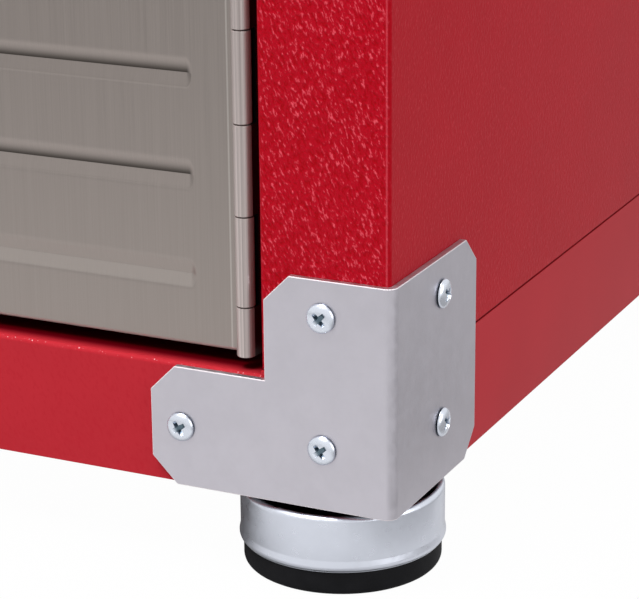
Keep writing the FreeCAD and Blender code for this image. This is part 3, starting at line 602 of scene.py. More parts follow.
class Effect(Enum):
    """Shared shader node groups: name, inputs, outputs and what fills them."""

    HAMMER = (
        "hammer_texture", ("Position", "Grain", "Stretch", "Lean"),
        ("Height", "Blisters", "Hollows"), hammer_texture,
    )
    BRUSH = ("brush_lines", ("Position", "Width", "Length"), ("Lines",), brush_lines)
    MOTTLE = ("tone_mottle", ("Position", "Patch"), ("Tone",), tone_mottle)
    BENDS = ("bend_marks", ("Position", "Normal", "Grain"), ("Line", "Band", "PaintedGlints"), bend_marks)

    def tree(self) -> bpy.types.NodeTree:
        """The group's node tree, made at its first use.

        Returns:
            The group's node tree.
        """
        name, inputs, outputs, fill = self.value
        made = bpy.data.node_groups.get(name)
        if made:
            return made
        made = bpy.data.node_groups.new(name, "ShaderNodeTree")
        for word in inputs:
            kind = "Vector" if word in ("Position", "Normal") else "Float"
            made.interface.new_socket(word, in_out="INPUT", socket_type="NodeSocket" + kind)
        for word in outputs:
            made.interface.new_socket(word, in_out="OUTPUT", socket_type="NodeSocketFloat")
        nodes = Nodes(made)
        fill(nodes, nodes.add("NodeGroupInput"), nodes.add("NodeGroupOutput"))
        return made


# --- Finishes -------------------------------------------------------------------------------------
@dataclass(frozen=True)
class Finish:
    """A surface finish and the slot of the record that it answers to."""

    name: str
    slot: str
    colour: Colour
    roughness: float
    metallic: float = 0.0
    specular: float = 0.5

    def material(self) -> bpy.types.Material:
        """The finish's material, made at its first use.

        Returns:
            The material.
        """
        made = bpy.data.materials.get(self.name)
        if made:
            return made
        made = bpy.data.materials.new(self.name)
        made.use_nodes = True
        nodes = Nodes(made.node_tree)
        shader = made.node_tree.nodes["Principled BSDF"]
        nodes.feed(shader.inputs["Base Color"], self.colour)
        nodes.feed(shader.inputs["Roughness"], self.roughness)
        nodes.feed(shader.inputs["Metallic"], self.metallic)
        nodes.feed(shader.inputs["Specular IOR Level"], self.specular)
        self.paint(nodes, shader, nodes.add("TexCoord").outputs["Object"])
        return made

    def paint(self, nodes: Nodes, shader: bpy.types.Node, position: bpy.types.NodeSocket) -> None:
        """Adds what changes over the surface; each kind of finish has its own.

        Args:
            nodes: Node tree of the material.
            shader: Its shader.
            position: Place on the object, in metres.
        """
        raise NotImplementedError

    def bump(self, nodes: Nodes, shader: bpy.types.Node, height: object, depth: float) -> None:
        """Raises the surface by a height from 0 to 1, times depth in metres."""
        made = nodes.add("Bump", {"Height": height, "Distance": depth, "Strength": 1.0})
        nodes.feed(shader.inputs["Normal"], made.outputs[0])

    def toned(self, factor: float) -> Colour:
        """The finish's colour, made darker or lighter by a factor."""
        red, green, blue = (min(part * factor, 1.0) for part in self.colour)
        return (red, green, blue)

    def mottled(
        self, nodes: Nodes, position: object, patch: float, low: Colour, high: Colour
    ) -> bpy.types.NodeSocket:
        """Colour that wanders between two colours."""
        tone = nodes.effect(Effect.MOTTLE, {"Position": position, "Patch": patch}).outputs[0]
        return nodes.mix(nodes.ramp(tone, *NOISE_MIDDLE), low, high)

    def uneven_gloss(
        self, nodes: Nodes, shader: bpy.types.Node, tone: object, swing: Pair,
        slope: Pair = NOISE_MIDDLE,
    ) -> None:
        """Lets the roughness follow a tone.

        Args:
            nodes: Node tree of the material.
            shader: Its shader.
            tone: Value that the roughness follows.
            swing: How far it falls below the finish's roughness, and how far it rises above.
            slope: Tones between which it changes.
        """
        low, high = self.roughness - swing[0], self.roughness + swing[1]
        nodes.feed(shader.inputs["Roughness"], nodes.ramp(tone, *slope, low, high))


@dataclass(frozen=True)
class PowderCoat(Finish):
    """Powder coat with blisters in relief, painted highlights on their crests and painted shade in
    their hollows, all flatter on faces that look sideways.
    """

    # Painted highlight on blister crests and painted shade in hollows; the hollow colour also
    # paints the shade band at folds.
    crest: Colour = (0.80, 0.09, 0.125)
    hollow: Colour = (0.36, 0.001, 0.005)
    # Colours of the painted highlight line at outward folds and of painted glints on upward folds.
    corner: Colour = (0.62, 0.07, 0.10)
    glint: Colour = (0.9, 0.5, 0.55)
    # Colour of painted shadow, such as the doors' shadow on the rails.
    inner: Colour = (0.09, 0.0, 0.003)
    grain: float = 1.05 * MM
    stretch: float = 1.9
    lean: float = 0.3
    depth: float = 0.7 * MM
    strength: float = 0.85
    side_share: float = 0.22
    side_slope: Pair = (0.3, 0.9)
    patch: float = 60 * MM
    patch_tone: float = 0.95
    # Strengths of the painted highlight line and painted shade band at folds.
    line_share: float = 0.5
    band_share: float = 0.4
    glint_grain: float = 0.9 * MM

    def paint(self, nodes: Nodes, shader: bpy.types.Node, position: bpy.types.NodeSocket) -> None:
        """Blisters in relief and in painted highlight and shade, painted light and shade at the
        folds, and painted shadow from the shade layer.

        Args:
            nodes: Node tree of the material.
            shader: Its shader.
            position: Place on the object, in metres.
        """
        inputs = {
            "Position": position, "Grain": self.grain, "Stretch": self.stretch, "Lean": self.lean,
        }
        hammer = nodes.effect(Effect.HAMMER, inputs)
        normal = nodes.add("TexCoord").outputs["Normal"]
        inputs = {"Position": position, "Normal": normal, "Grain": self.glint_grain}
        bends = nodes.effect(Effect.BENDS, inputs)
        sideways = nodes.math("ABSOLUTE", nodes.add("SeparateXYZ", {0: normal}).outputs[0])
        share = nodes.ramp(sideways, *self.side_slope, 1.0, self.side_share)
        marked = nodes.math("MULTIPLY", share, self.strength)
        colour = self.mottled(nodes, position, self.patch, self.toned(self.patch_tone), self.colour)
        # Painted shade and highlights on the blisters, painted light at the folds, painted glints,
        # and painted shadow from the shade layer.
        painted_tones = (
            (hammer.outputs["Hollows"], marked, self.hollow),
            (hammer.outputs["Blisters"], marked, self.crest),
            (bends.outputs["Line"], self.line_share, self.corner),
            (bends.outputs["Band"], self.band_share, self.hollow),
            (bends.outputs["PaintedGlints"], 1.0, self.glint),
            (nodes.ramp(nodes.layer(SHADE_AND_LIGHT_LAYER), 0.0, 1.0), 1.0, self.inner),
        )
        for mask, strength, tint in painted_tones:
            colour = nodes.mix(nodes.math("MULTIPLY", mask, strength), colour, tint)
        nodes.feed(shader.inputs["Base Color"], colour)
        height = nodes.math("MULTIPLY", hammer.outputs["Height"], share)
        self.bump(nodes, shader, height, self.depth)


@dataclass(frozen=True)
class BrushedMetal(Finish):
    """Metal with fine scratches along Z, with painted shade in its pressed creases and painted
    highlights on slopes and edges.
    """

    line_width: float = 0.25 * MM
    line_length: float = 60 * MM
    line_depth: float = 0.01 * MM
    contrast: float = 0.06
    gloss_swing: Pair = (0.04, 0.05)
    # crease is the painted shade colour; the highlight colour below paints lighter slopes and
    # edges, less metallic.
    crease: Colour = (0.045, 0.038, 0.033)
    bright: Colour = (0.5, 0.46, 0.43)
    bright_slope: Pair = (-0.3, -1.0)
    bright_metallic: float = 0.2

    def paint(self, nodes: Nodes, shader: bpy.types.Node, position: bpy.types.NodeSocket) -> None:
        """Scratches in tone, gloss and relief, with painted shade and painted highlights from the
        shade layer.

        Args:
            nodes: Node tree of the material.
            shader: Its shader.
            position: Place on the object, in metres.
        """
        inputs = {"Position": position, "Width": self.line_width, "Length": self.line_length}
        lines = nodes.effect(Effect.BRUSH, inputs).outputs["Lines"]
        low, high = self.toned(1 - self.contrast), self.toned(1 + self.contrast)
        brushed = nodes.mix(nodes.ramp(lines, *NOISE_MIDDLE), low, high)
        groove = nodes.layer(SHADE_AND_LIGHT_LAYER)
        shaded = nodes.mix(nodes.ramp(groove, 0.0, 1.0), brushed, self.crease)
        lit = nodes.mix(nodes.ramp(groove, 0.0, -1.0), shaded, self.bright)
        metallic = nodes.ramp(groove, *self.bright_slope, self.metallic, self.bright_metallic)
        nodes.feed(shader.inputs["Base Color"], lit)
        nodes.feed(shader.inputs["Metallic"], metallic)
        self.uneven_gloss(nodes, shader, lines, self.gloss_swing)
        self.bump(nodes, shader, lines, self.line_depth)


@dataclass(frozen=True)
class PlatedMetal(Finish):
    """Plated metal with cloudy tone, painted highlights on its rounded edges and painted shade in
    recesses.
    """

    cloud: float = 0.08
    patch: float = 12 * MM
    gloss_patch: float = 4 * MM
    gloss_swing: Pair = (0.04, 0.06)
    # Colours of the painted highlight on rounded edges and of painted shade in recesses.
    edge: Colour = (0.82, 0.76, 0.79)
    edge_share: float = 0.8
    shade: Colour = (0.11, 0.155, 0.19)
    grain: float = 0.4 * MM
    depth: float = 0.01 * MM

    def paint(self, nodes: Nodes, shader: bpy.types.Node, position: bpy.types.NodeSocket) -> None:
        """Clouds, painted highlights on edges, painted shade in recesses and a fine grain.

        Args:
            nodes: Node tree of the material.
            shader: Its shader.
            position: Place on the object, in metres.
        """
        low, high = self.toned(1 - self.cloud), self.toned(1 + self.cloud)
        clouds = self.mottled(nodes, position, self.patch, low, high)
        share = nodes.math("MULTIPLY", nodes.layer(EDGE_LAYER), self.edge_share)
        lit = nodes.mix(share, clouds, self.edge)
        sunk = nodes.ramp(nodes.layer(SHADE_AND_LIGHT_LAYER), 0.0, 1.0)
        nodes.feed(shader.inputs["Base Color"], nodes.mix(sunk, lit, self.shade))
        nodes.feed(shader.inputs["Metallic"], nodes.math("SUBTRACT", 1.0, share))
        inputs = {"Position": position, "Patch": self.gloss_patch}
        tone = nodes.effect(Effect.MOTTLE, inputs).outputs[0]
        self.uneven_gloss(nodes, shader, tone, self.gloss_swing)
        self.bump(nodes, shader, nodes.noise(nodes.in_units(position, self.grain)), self.depth)


@dataclass(frozen=True)
class Moulded(Finish):
    """Rubber or plastic with a fine leathery grain and dull patches."""

    grain: float = 0.5 * MM
    depth: float = 0.03 * MM
    patch: float = 15 * MM
    fading: float = 1.5
    dust: float = 0.002
    gloss_swing: Pair = (0.06, 0.06)

    def paint(self, nodes: Nodes, shader: bpy.types.Node, position: bpy.types.NodeSocket) -> None:
        """Grain in relief, dust in tone.

        Args:
            nodes: Node tree of the material.
            shader: Its shader.
            position: Place on the object, in metres.
        """
        red, green, blue = (part + self.dust for part in self.toned(self.fading))
        colour = self.mottled(nodes, position, self.patch, self.colour, (red, green, blue))
        nodes.feed(shader.inputs["Base Color"], colour)
        fine = nodes.noise(nodes.in_units(position, self.grain), detail=3.0)
        self.uneven_gloss(nodes, shader, fine, self.gloss_swing)
        self.bump(nodes, shader, fine, self.depth)


@dataclass(frozen=True)
class Galvanised(Finish):
    """Zinc-coated sheet with the flowers of hot-dip galvanising."""

    flower: float = 9 * MM
    tones: Pair = (0.86, 1.1)
    gloss_swing: Pair = (0.05, 0.08)

    def paint(self, nodes: Nodes, shader: bpy.types.Node, position: bpy.types.NodeSocket) -> None:
        """Cells of slightly different grey and gloss.

        Args:
            nodes: Node tree of the material.
            shader: Its shader.
            position: Place on the object, in metres.
        """
        place = nodes.in_units(position, self.flower)
        cells = nodes.add("TexVoronoi", {"Vector": place, "Scale": 1.0})
        tone = nodes.add("SeparateColor", {0: cells.outputs["Color"]}).outputs[0]
        low, high = (self.toned(factor) for factor in self.tones)
        nodes.feed(shader.inputs["Base Color"], nodes.mix(tone, low, high))
        self.uneven_gloss(nodes, shader, tone, self.gloss_swing, (0.0, 1.0))


RED = "red_powder_coat"
HAMMERED_RED = PowderCoat("hammered_red", RED, (0.455, 0.004, 0.015), 0.30, specular=0.04)
SMOOTH_RED = PowderCoat(
    "smooth_red", RED, (0.50, 0.024, 0.036), 0.34, specular=0.04,
    crest=(0.50, 0.024, 0.038), hollow=(0.47, 0.018, 0.03), grain=1.2 * MM, depth=0.015 * MM,
)
STAINLESS = BrushedMetal(
    "ribbed_stainless_sheet", "ribbed_stainless", (0.322, 0.283, 0.262), 0.33, 1.0, contrast=0.04,
)
SATIN = PlatedMetal("satin_bracket", "satin_steel", (0.55, 0.53, 0.58), 0.42, 1.0, cloud=0.02)
ZINC = PlatedMetal(
    "bright_zinc", "zinc_plate", (0.70, 0.74, 0.82), 0.26, 1.0,
    cloud=0.03, grain=1.0 * MM, depth=0.004 * MM,
)
CUP_ZINC = PlatedMetal(
    "bright_zinc_cup", "zinc_plate", (0.665, 0.695, 0.775), 0.31, 1.0,
    cloud=0.02, grain=3.0 * MM, depth=0.0,
)
# The hinge's crease colour paints its leaf plates near black, as painted shade in the gap beside
# the door.
HINGE = BrushedMetal(
    "drawn_hinge_steel", "hinge_steel", (0.46, 0.40, 0.385), 0.36, 0.6,
    crease=(0.006, 0.004, 0.004), line_width=0.9 * MM, line_length=400 * MM, contrast=0.3,
)
RUBBER = Moulded("black_rubber_pad", "black_rubber", (0.003, 0.003, 0.004), 0.7, specular=0.15)
HANDLE = BrushedMetal(
    "satin_handle", "handle_metal", (0.60, 0.60, 0.62), 0.30, 1.0, line_width=0.3 * MM,
)
LOCK = PlatedMetal("polished_lock", "lock_metal", (0.70, 0.70, 0.72), 0.14, 1.0, cloud=0.03)
PLASTIC = Moulded("black_catch", "black_plastic", (0.018, 0.018, 0.020), 0.5, grain=0.8 * MM)
GALVANISED = Galvanised("galvanised_sheet", "galvanised_steel", (0.46, 0.47, 0.49), 0.38, 1.0)

CARRIED_FINISHES = (
    SMOOTH_RED, STAINLESS, SATIN, ZINC, HINGE, RUBBER, HANDLE, LOCK, PLASTIC, GALVANISED,
)
SLOT_FINISHES = {finish.slot: finish for finish in CARRIED_FINISHES}


# --- Sub-assemblies -------------------------------------------------------------------------------
@dataclass
class Assembly:
    """A sub-assembly: builds its pieces, then dresses them in their finishes."""

    pieces: list[tuple[bpy.types.Object, Finish]] = field(default_factory=list, init=False)

    def keep(self, shape: Shape, name: str, body: str, finish: Finish, *nodes: str) -> None:
        """Turns a shape into a piece that rides on a body and stands for nodes.

        Args:
            shape: The finished mesh.
            name: Name of the piece.
            body: Body that it moves with.
            finish: Its surface.
            *nodes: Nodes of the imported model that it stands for.
        """
        piece = shape.piece(name)
        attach(piece, body)
        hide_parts(*nodes)
        self.pieces.append((piece, finish))
        LOG.info("%s: %d faces on %s", name, len(piece.data.polygons), body)

    def build(self) -> None:
        """Makes the pieces."""
        raise NotImplementedError

    def dress(self) -> None:
        """Gives each piece its material."""
        for piece, finish in self.pieces:
            piece.data.materials.clear()
            piece.data.materials.append(finish.material())


@dataclass
class CabinetBody(Assembly):
    """Side panels with their stiles, base skirts and rails.

    The upper side of each rail gets a painted shadow of the doors: it starts a set distance behind
    the rail's face and reaches full depth over a set run.
    """

    sheet: float = 1.2 * MM
    bend: float = 2.0 * MM
    stile_return: float = 26.0 * MM
    rail_lip: float = 16.0 * MM
    mid_rail_lip: float = 10.0 * MM
    edge: float = 0.3 * MM
    inside_start: float = 0.5 * MM
    inside_run: float = 8.5 * MM

    def wrap(self, node: str, with_return: bool) -> Shape:
        """Sheet that wraps the side of the body, open towards the middle.

        Args:
            node: Node of the right-hand sheet.
            with_return: Whether the front flange folds back into the opening.

        Returns:
            The right-hand sheet.
        """
        low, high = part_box(node)
        path = [(low.x, low.y), (high.x, low.y), (high.x, high.y), (low.x, high.y)]
        if with_return:
            path.insert(0, (low.x, low.y + self.stile_return))
        fold = Fold(tuple(path), self.sheet, self.bend)
        return fold.extruded(lambda point, z: Vector((point.x, point.y, z)), low.z, high.z)

    def across(self, node: str, section: Sequence[Pair]) -> Shape:
        """Folded sheet that runs across the front, from its section in depth and height.

        Args:
            node: Node that gives the sheet's ends and its front.
            section: Depths and heights of the folds.

        Returns:
            The sheet, with a painted shadow of the doors towards the back.
        """
        low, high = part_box(node)
        fold = Fold(tuple(section), self.sheet, self.bend)
        shape = fold.extruded(lambda point, x: Vector((x, point.x, point.y)), low.x, high.x)
        shape.soften(self.edge)
        # Painted shadow of the doors, deepening towards the back.
        layer = shape.marks()
        for vertex in shape.mesh.verts:
            vertex[layer] = (vertex.co.y - low.y - self.inside_start) / self.inside_run
        return shape

    def keep_sheet(self, shape: Shape, node: str, finish: Finish = SMOOTH_RED) -> None:
        """Keeps a sheet of the fixed body, which stands for one node."""
        self.keep(shape, node + "_sheet", FIXED_BODY, finish, node)

    def build(self) -> None:
        """Makes the sheets that show outside."""
        wraps = (("{}_side_panel", True, HAMMERED_RED), ("base_{}_skirt", False, SMOOTH_RED))
        for pattern, with_return, finish in wraps:
            right = self.wrap(pattern.format("right"), with_return).soften(self.edge)
            for side in Side:
                shape = right if side is Side.RIGHT else right.changed(mirror(X_AXIS))
                self.keep_sheet(shape, pattern.format(side.word), finish)
        low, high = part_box("base_front_rail")
        section = [
            (high.y, high.z - self.rail_lip), (high.y, high.z), (low.y, high.z), (low.y, low.z),
        ]
        front = self.across("base_front_rail", section)
        self.keep_sheet(front, "base_front_rail")
        middle = (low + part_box("base_rear_rail")[1]) / 2
        self.keep_sheet(front.changed(mirror(Y_AXIS, middle)), "base_rear_rail")
        low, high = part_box("mid_rail")
        lip = self.mid_rail_lip
        section = [
            (high.y, high.z - lip), (high.y, high.z), (low.y, high.z),
            (low.y, low.z), (high.y, low.z), (high.y, low.z + lip),
        ]
        self.keep_sheet(self.across("mid_rail", section), "mid_rail")


@dataclass
class PanScrew:
    """Cross-recess pan-head screw, seated at the origin with its head along Z."""

    head_radius: float = 6.0 * MM
    head_height: float = 2.8 * MM
    rim: float = 0.7 * MM
    rim_chamfer: Pair = (0.1 * MM, 0.15 * MM)
    rim_shade: float = 0.1 * MM
    undercut: float = 0.75 * MM
    crown_power: float = 2.4
    crown_rings: int = 8
    shank_radius: float = 3.0 * MM
    length: float = 12.0 * MM
    cross_span: float = 3.6 * MM
    cross_width: float = 0.85 * MM
    cross_depth: float = 1.9 * MM
    cross_mouth: float = 1.12
    cross_tip: float = 0.42
    cross_root: float = 1.25
    cross_turn: float = math.radians(38)
    shade_depth: float = 0.5 * MM
    sides: int = 40

    def crown(self, radius: float) -> float:
        """Height of the head's top at a radius."""
        level = max(1 - (radius / self.head_radius) ** self.crown_power, 0.0) ** 0.5
        return self.rim + (self.head_height - self.rim) * level

    def shape(self) -> Shape:
        """Head with its recess, and the shank; recess and undercut get painted shade.

        Returns:
            The screw.
        """
        turns = spread(0.0, math.pi / 2, self.crown_rings + 2)[1:-1]
        radii = [self.head_radius * math.sin(turn) for turn in turns]
        wall = [
            (self.head_radius, self.rim),
            (self.head_radius - self.rim_chamfer[0], self.rim - self.rim_chamfer[1]),
            (self.head_radius - self.undercut, 0.0),
            (self.shank_radius, 0.0),
            (self.shank_radius, -self.length),
            (0.0, -self.length),
        ]
        top = [(0.0, self.head_height)] + [(radius, self.crown(radius)) for radius in radii]
        head = carved(turned(top + wall, Vector(), Z_AXIS, self.sides), self.cross())
        # Painted shade in the cross recess and under the rim.
        layer = head.marks()
        for vertex in head.mesh.verts:
            radius = vertex.co.xy.length
            sunk = radius < self.cross_span and vertex.co.z < self.crown(radius) - self.shade_depth
            vertex[layer] = float(sunk or vertex.co.z < self.rim - self.rim_shade)
        return head

    def cross(self) -> Shape:
        """Tapered cross that cuts the recess, from above the head down.

        Returns:
            The solid to cut out.
        """
        levels = (
            (self.head_height + MM, self.cross_mouth),
            (self.head_height, 1.0),
            (self.head_height - self.cross_depth, self.cross_tip),
        )
        rows = []
        for height, share in levels:
            span = self.cross_span * share
            half = self.cross_width * (1 + share) / 2
            root = half * self.cross_root
            row = []
            for quarter in range(4):
                turn = Matrix.Rotation(quarter * math.pi / 2, 3, "Z")
                for x, y in ((span, -half), (span, half), (root, root)):
                    row.append(turn @ Vector((x, y, height)))
            rows.append(row)
        return lofted(rows)


@dataclass
class CornerBrackets(Assembly):
    """Eight bent brackets, each with five screws; all are copies of the bottom front right one."""

    thickness: float = 3.0 * MM
    height: float = 95.0 * MM
    outer_bend: float = 4.5 * MM
    upright: float = 52.5 * MM
    arm: float = 103.75 * MM
    arm_height: float = 50.7 * MM
    side_leg: float = 80.5 * MM
    chamfer: float = 11.0 * MM
    edge: float = 0.4 * MM
    cut_light: float = 0.3
    cuts: int = 8
    cut_tolerance: float = 0.0001 * MM
    screw: PanScrew = field(default_factory=PanScrew)
    screw_low: float = 25.4 * MM
    screw_high: float = 79.8 * MM
    screw_front: float = 27.6 * MM
    screw_arm: float = 90.2 * MM
    screw_side: float = 44.6 * MM
    screw_turns: tuple[float, ...] = (0.0, 0.12, -0.1, 0.05, 0.2)

    @property
    def inner_bend(self) -> float:
        """Inner radius of the bend."""
        return self.outer_bend - self.thickness

    @property
    def bend_length(self) -> float:
        """Length of the bend along the middle of the metal."""
        return (self.inner_bend + self.thickness / 2) * math.pi / 2

    def flat(self) -> Shape:
        """The plate before bending: X runs round the corner, Y is the depth in the metal.

        Returns:
            The flat plate with its rounded edges marked for painted highlights.
        """
        c = self.chamfer
        tip = self.inner_bend - self.arm
        step = self.inner_bend - self.upright
        end = self.bend_length + self.side_leg - self.inner_bend
        outline = [
            (tip + c, 0), (end - c, 0), (end, c), (end, self.height - c), (end - c, self.height),
            (step + c, self.height), (step, self.height - c), (step, self.arm_height),
            (tip + c, self.arm_height), (tip, self.arm_height - c), (tip, c),
        ]
        shape = plate([Vector((x, 0, z)) for x, z in outline], Y_AXIS * self.thickness)
        shape.soften(self.edge, 3)
        # Rounded edges carry a painted highlight, fainter on the cut faces.
        layer = shape.mesh.faces.layers.float[EDGE_LAYER]
        shape.mesh.normal_update()
        for face in shape.mesh.faces:
            face[layer] *= self.cut_light if abs(face.normal.y) < 0.5 else 1.0
        return shape

    def bent(self, point: Vector) -> Vector:
        """Where a point of the flat plate lies once bent, with the body's corner at the origin.

        Args:
            point: Point of the flat plate.

        Returns:
            The same point after bending.
        """
        inner = self.inner_bend
        if point.x <= 0:
            return Vector((point.x - inner, point.y - self.thickness, point.z))
        if point.x >= self.bend_length:
            return Vector((self.thickness - point.y, inner + point.x - self.bend_length, point.z))
        angle = point.x / self.bend_length * math.pi / 2
        radius = inner + self.thickness - point.y
        return Vector((radius * math.sin(angle) - inner, inner - radius * math.cos(angle), point.z))

    def bracket(self, corner: Vector) -> Shape:
        """The bottom front right bracket, bent round the given corner of the body.

        Args:
            corner: Lower front right corner of the body.

        Returns:
            The bracket.
        """
        shape = self.flat()
        for x in spread(0.0, self.bend_length, self.cuts + 1):
            everything = shape.mesh.verts[:] + shape.mesh.edges[:] + shape.mesh.faces[:]
            bmesh.ops.bisect_plane(
                shape.mesh, geom=everything, plane_co=X_AXIS * x, plane_no=X_AXIS,
                dist=self.cut_tolerance,
            )
        for vertex in shape.mesh.verts:
            vertex.co = corner + self.bent(vertex.co)
        return shape.closed()

    def screws(self, corner: Vector, head: Shape) -> Shape:
        """The five screws of the bottom front right bracket.

        Args:
            corner: Lower front right corner of the body.
            head: One screw at the origin.

        Returns:
            All five in one shape.
        """
        face = corner - Y_AXIS * self.thickness
        flank = corner + X_AXIS * self.thickness
        seats = [
            (face + Vector((-self.screw_front, 0, self.screw_low)), -Y_AXIS),
            (face + Vector((-self.screw_front, 0, self.screw_high)), -Y_AXIS),
            (face + Vector((-self.screw_arm, 0, self.screw_low)), -Y_AXIS),
            (flank + Vector((0, self.screw_side, self.screw_low)), X_AXIS),
            (flank + Vector((0, self.screw_side, self.screw_high)), X_AXIS),
        ]
        group = Shape()
        for i, (seat, outward) in enumerate(seats):
            stand = Z_AXIS.rotation_difference(outward).to_matrix().to_4x4()
            spin = Matrix.Rotation(self.screw.cross_turn + self.screw_turns[i], 4, "Z")
            group.add(head.changed(Matrix.Translation(seat) @ stand @ spin))
        return group

    def build(self) -> None:
        """Makes the brackets and their screws, corner by corner."""
        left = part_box("left_side_panel")[0].x
        low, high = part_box("right_side_panel")
        low = Vector((left, low.y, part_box("base_right_skirt")[0].z))
        high = Vector((high.x, high.y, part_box("top_panel")[1].z))
        corner = Vector((high.x, low.y, low.z))
        bracket = self.bracket(corner)
        screws = self.screws(corner, self.screw.shape())
        middle = (low + high) / 2
        for level, depth, side in ((a, b, c) for a in range(2) for b in range(2) for c in Side):
            change = Matrix.Identity(4)
            if side is Side.LEFT:
                change = mirror(X_AXIS, middle) @ change
            if depth:
                change = mirror(Y_AXIS, middle) @ change
            if level:
                change = mirror(Z_AXIS, middle) @ change
            level_word = ("bottom", "top")[level]
            name = f"{level_word}_{('front', 'rear')[depth]}_{side.word}_bracket"
            node = level_word + "_corner_brackets"
            self.keep(bracket.changed(change), name, FIXED_BODY, SATIN, node)
            self.keep(screws.changed(change), name + "_screws", FIXED_BODY, ZINC, "bracket_screws")


@dataclass
class RibbedFront:
    """Folded sheet with pressed horizontal ribs, seen from the front.

    The shade layer holds its painted tones: above 0 is painted shade and below 0 a painted
    highlight. The slope tones below and the painted shades above the creases are given from the
    lowest rib up; the last one goes on.
    """

    low: Vector
    high: Vector
    sheet: float = 1.0 * MM
    bend: float = 1.6 * MM
    bend_steps: int = 5
    pitch: float = 40.8 * MM
    margin: float = 29.75 * MM
    width: float = 12.0 * MM
    depth: float = 1.5 * MM
    end: float = 19.2 * MM
    end_run: float = 2.8 * MM
    crease: float = 0.02
    rim: float = 0.16
    fade: float = 1.4
    # Painted tones: lighter or darker slopes below the creases, painted shade above them, a painted
    # highlight on the fold and a painted highlight line beside each upright edge.
    slopes: tuple[float, ...] = (-0.22, 0.24, 0.34)
    slope_rise: float = 12.0
    shades: tuple[float, ...] = (0.05, 0.9, 0.9)
    edge_light: float = 1.0
    line_inset: float = 3.7 * MM
    line_width: float = 1.2 * MM
    line_light: float = 0.6
    line_steps: tuple[float, ...] = (-0.5, -0.15, 0.15, 0.5)
    sharpness: float = 0.05 * MM
    end_before: float = 0.6 * MM
    end_after: float = 0.2 * MM
    end_lines: int = 13
    rib_lines: tuple[float, ...] = (
        0.0, 0.02, 0.045, 0.1, 0.2, 0.35, 0.5, 0.65, 0.76, 0.84, 0.9, 0.96, 1.02, 1.09, 1.16, 1.25,
    )
    support: float = 0.4 * MM
    inner_face: float = 2.7 * MM
    lip: float = 0.2 * MM

    def heights(self) -> list[float]:
        """Heights of the ribs."""
        count = round((self.high.z - self.low.z - 2 * self.margin) / self.pitch) + 1
        return [self.low.z + self.margin + i * self.pitch for i in range(count)]

    def nearness(self, x: float, z: float, heights: Sequence[float]) -> float:
        """How near a point is to a rib's bottom: 1 there, 0 at the rib's mouth, then negative.

        Args:
            x: Place across the sheet.
            z: Height.
            heights: Heights of the ribs.

        Returns:
            The nearness.
        """
        inset = self.end + self.end_run
        beyond = max(self.low.x + inset - x, x - (self.high.x - inset), 0.0) / self.end_run
        rise = min(abs(z - height) for height in heights) / (self.width / 2)
        return 1 - math.sqrt(beyond ** 2 + rise ** 2 + self.crease ** 2)

    def dent(self, nearness: float) -> float:
        """Depth of the pressing, with its mouth rounded.

        Args:
            nearness: How near the rib's bottom is.

        Returns:
            Depth behind the face.
        """
        if nearness < -self.rim:
            return 0.0
        if nearness < self.rim:
            return self.depth * (nearness + self.rim) ** 2 / (4 * self.rim)
        return self.depth * nearness

    def shade(self, near: float, z: float, heights: Sequence[float]) -> float:
        """Painted tone of a rib: 1 is painted shade at its crease, negative is a painted highlight
        on a slope.

        Args:
            near: Nearness of the point.
            z: Its height.
            heights: Heights of the ribs.

        Returns:
            The tone.
        """
        rib = min(range(len(heights)), key=lambda i: abs(z - heights[i]))
        last = len(self.shades) - 1
        if near <= 0:
            return 0.0
        if z < heights[rib] - self.sharpness:
            return self.slopes[min(rib, last)] * min(near * self.slope_rise, 1.0)
        return self.shades[min(rib, last)] * near ** self.fade

    def tone(self, x: float, z: float, near: float, heights: Sequence[float]) -> float:
        """Tone of a grid point: a painted highlight line runs up beside each edge, outside it
        nothing shows.

        Args:
            x: Place across the sheet.
            z: Height.
            near: Nearness to a rib's bottom.
            heights: Heights of the ribs.

        Returns:
            The tone.
        """
        beside = min(x - self.low.x, self.high.x - x) - self.line_inset
        if beside < self.line_width / 4:
            return -self.line_light if beside > -self.line_width / 4 else 0.0
        return self.shade(near, z, heights)

    def columns(self) -> list[float]:
        """Grid lines in X, dense where the ribs end.

        Returns:
            The places in X, from left to right.
        """
        edge = self.low.x
        left = [edge + self.bend, edge + self.bend + self.support]
        left += [edge + self.line_inset + self.line_width * step for step in self.line_steps]
        end = edge + self.end
        left += spread(end - self.end_before, end + self.end_run + self.end_after, self.end_lines)
        right = [edge + self.high.x - x for x in reversed(left)]
        return left + right

    def rows(self, heights: Sequence[float]) -> list[float]:
        """Grid lines in Z, dense across the ribs.

        Args:
            heights: Heights of the ribs.

        Returns:
            The heights, from the lowest up.
        """
        half = [share * self.width / 2 for share in self.rib_lines]
        offsets = [-step for step in half[:0:-1]] + half
        lines = [self.low.z + self.bend, self.low.z + self.bend + self.support]
        for height in heights:
            lines += [height + offset for offset in offsets]
        return lines + [self.high.z - self.bend - self.support, self.high.z - self.bend]

    def wall(self) -> list[Pair]:
        """Outward offset and depth of each loop from the face round the fold to the inside.

        Returns:
            Pairs of offset and depth.
        """
        face, back = self.low.y, self.high.y
        loops = []
        for angle in spread(0, math.pi / 2, self.bend_steps + 1)[1:]:
            loops.append((self.bend * math.sin(angle), face + self.bend * (1 - math.cos(angle))))
        inner = self.bend - self.sheet
        loops.append((self.bend, face + self.bend + self.support))
        loops += [(self.bend, back - self.lip), (self.bend - self.lip, back)]
        loops += [(inner + self.lip, back), (inner, back - self.lip)]
        loops.append((inner, face + self.inner_face))
        return loops

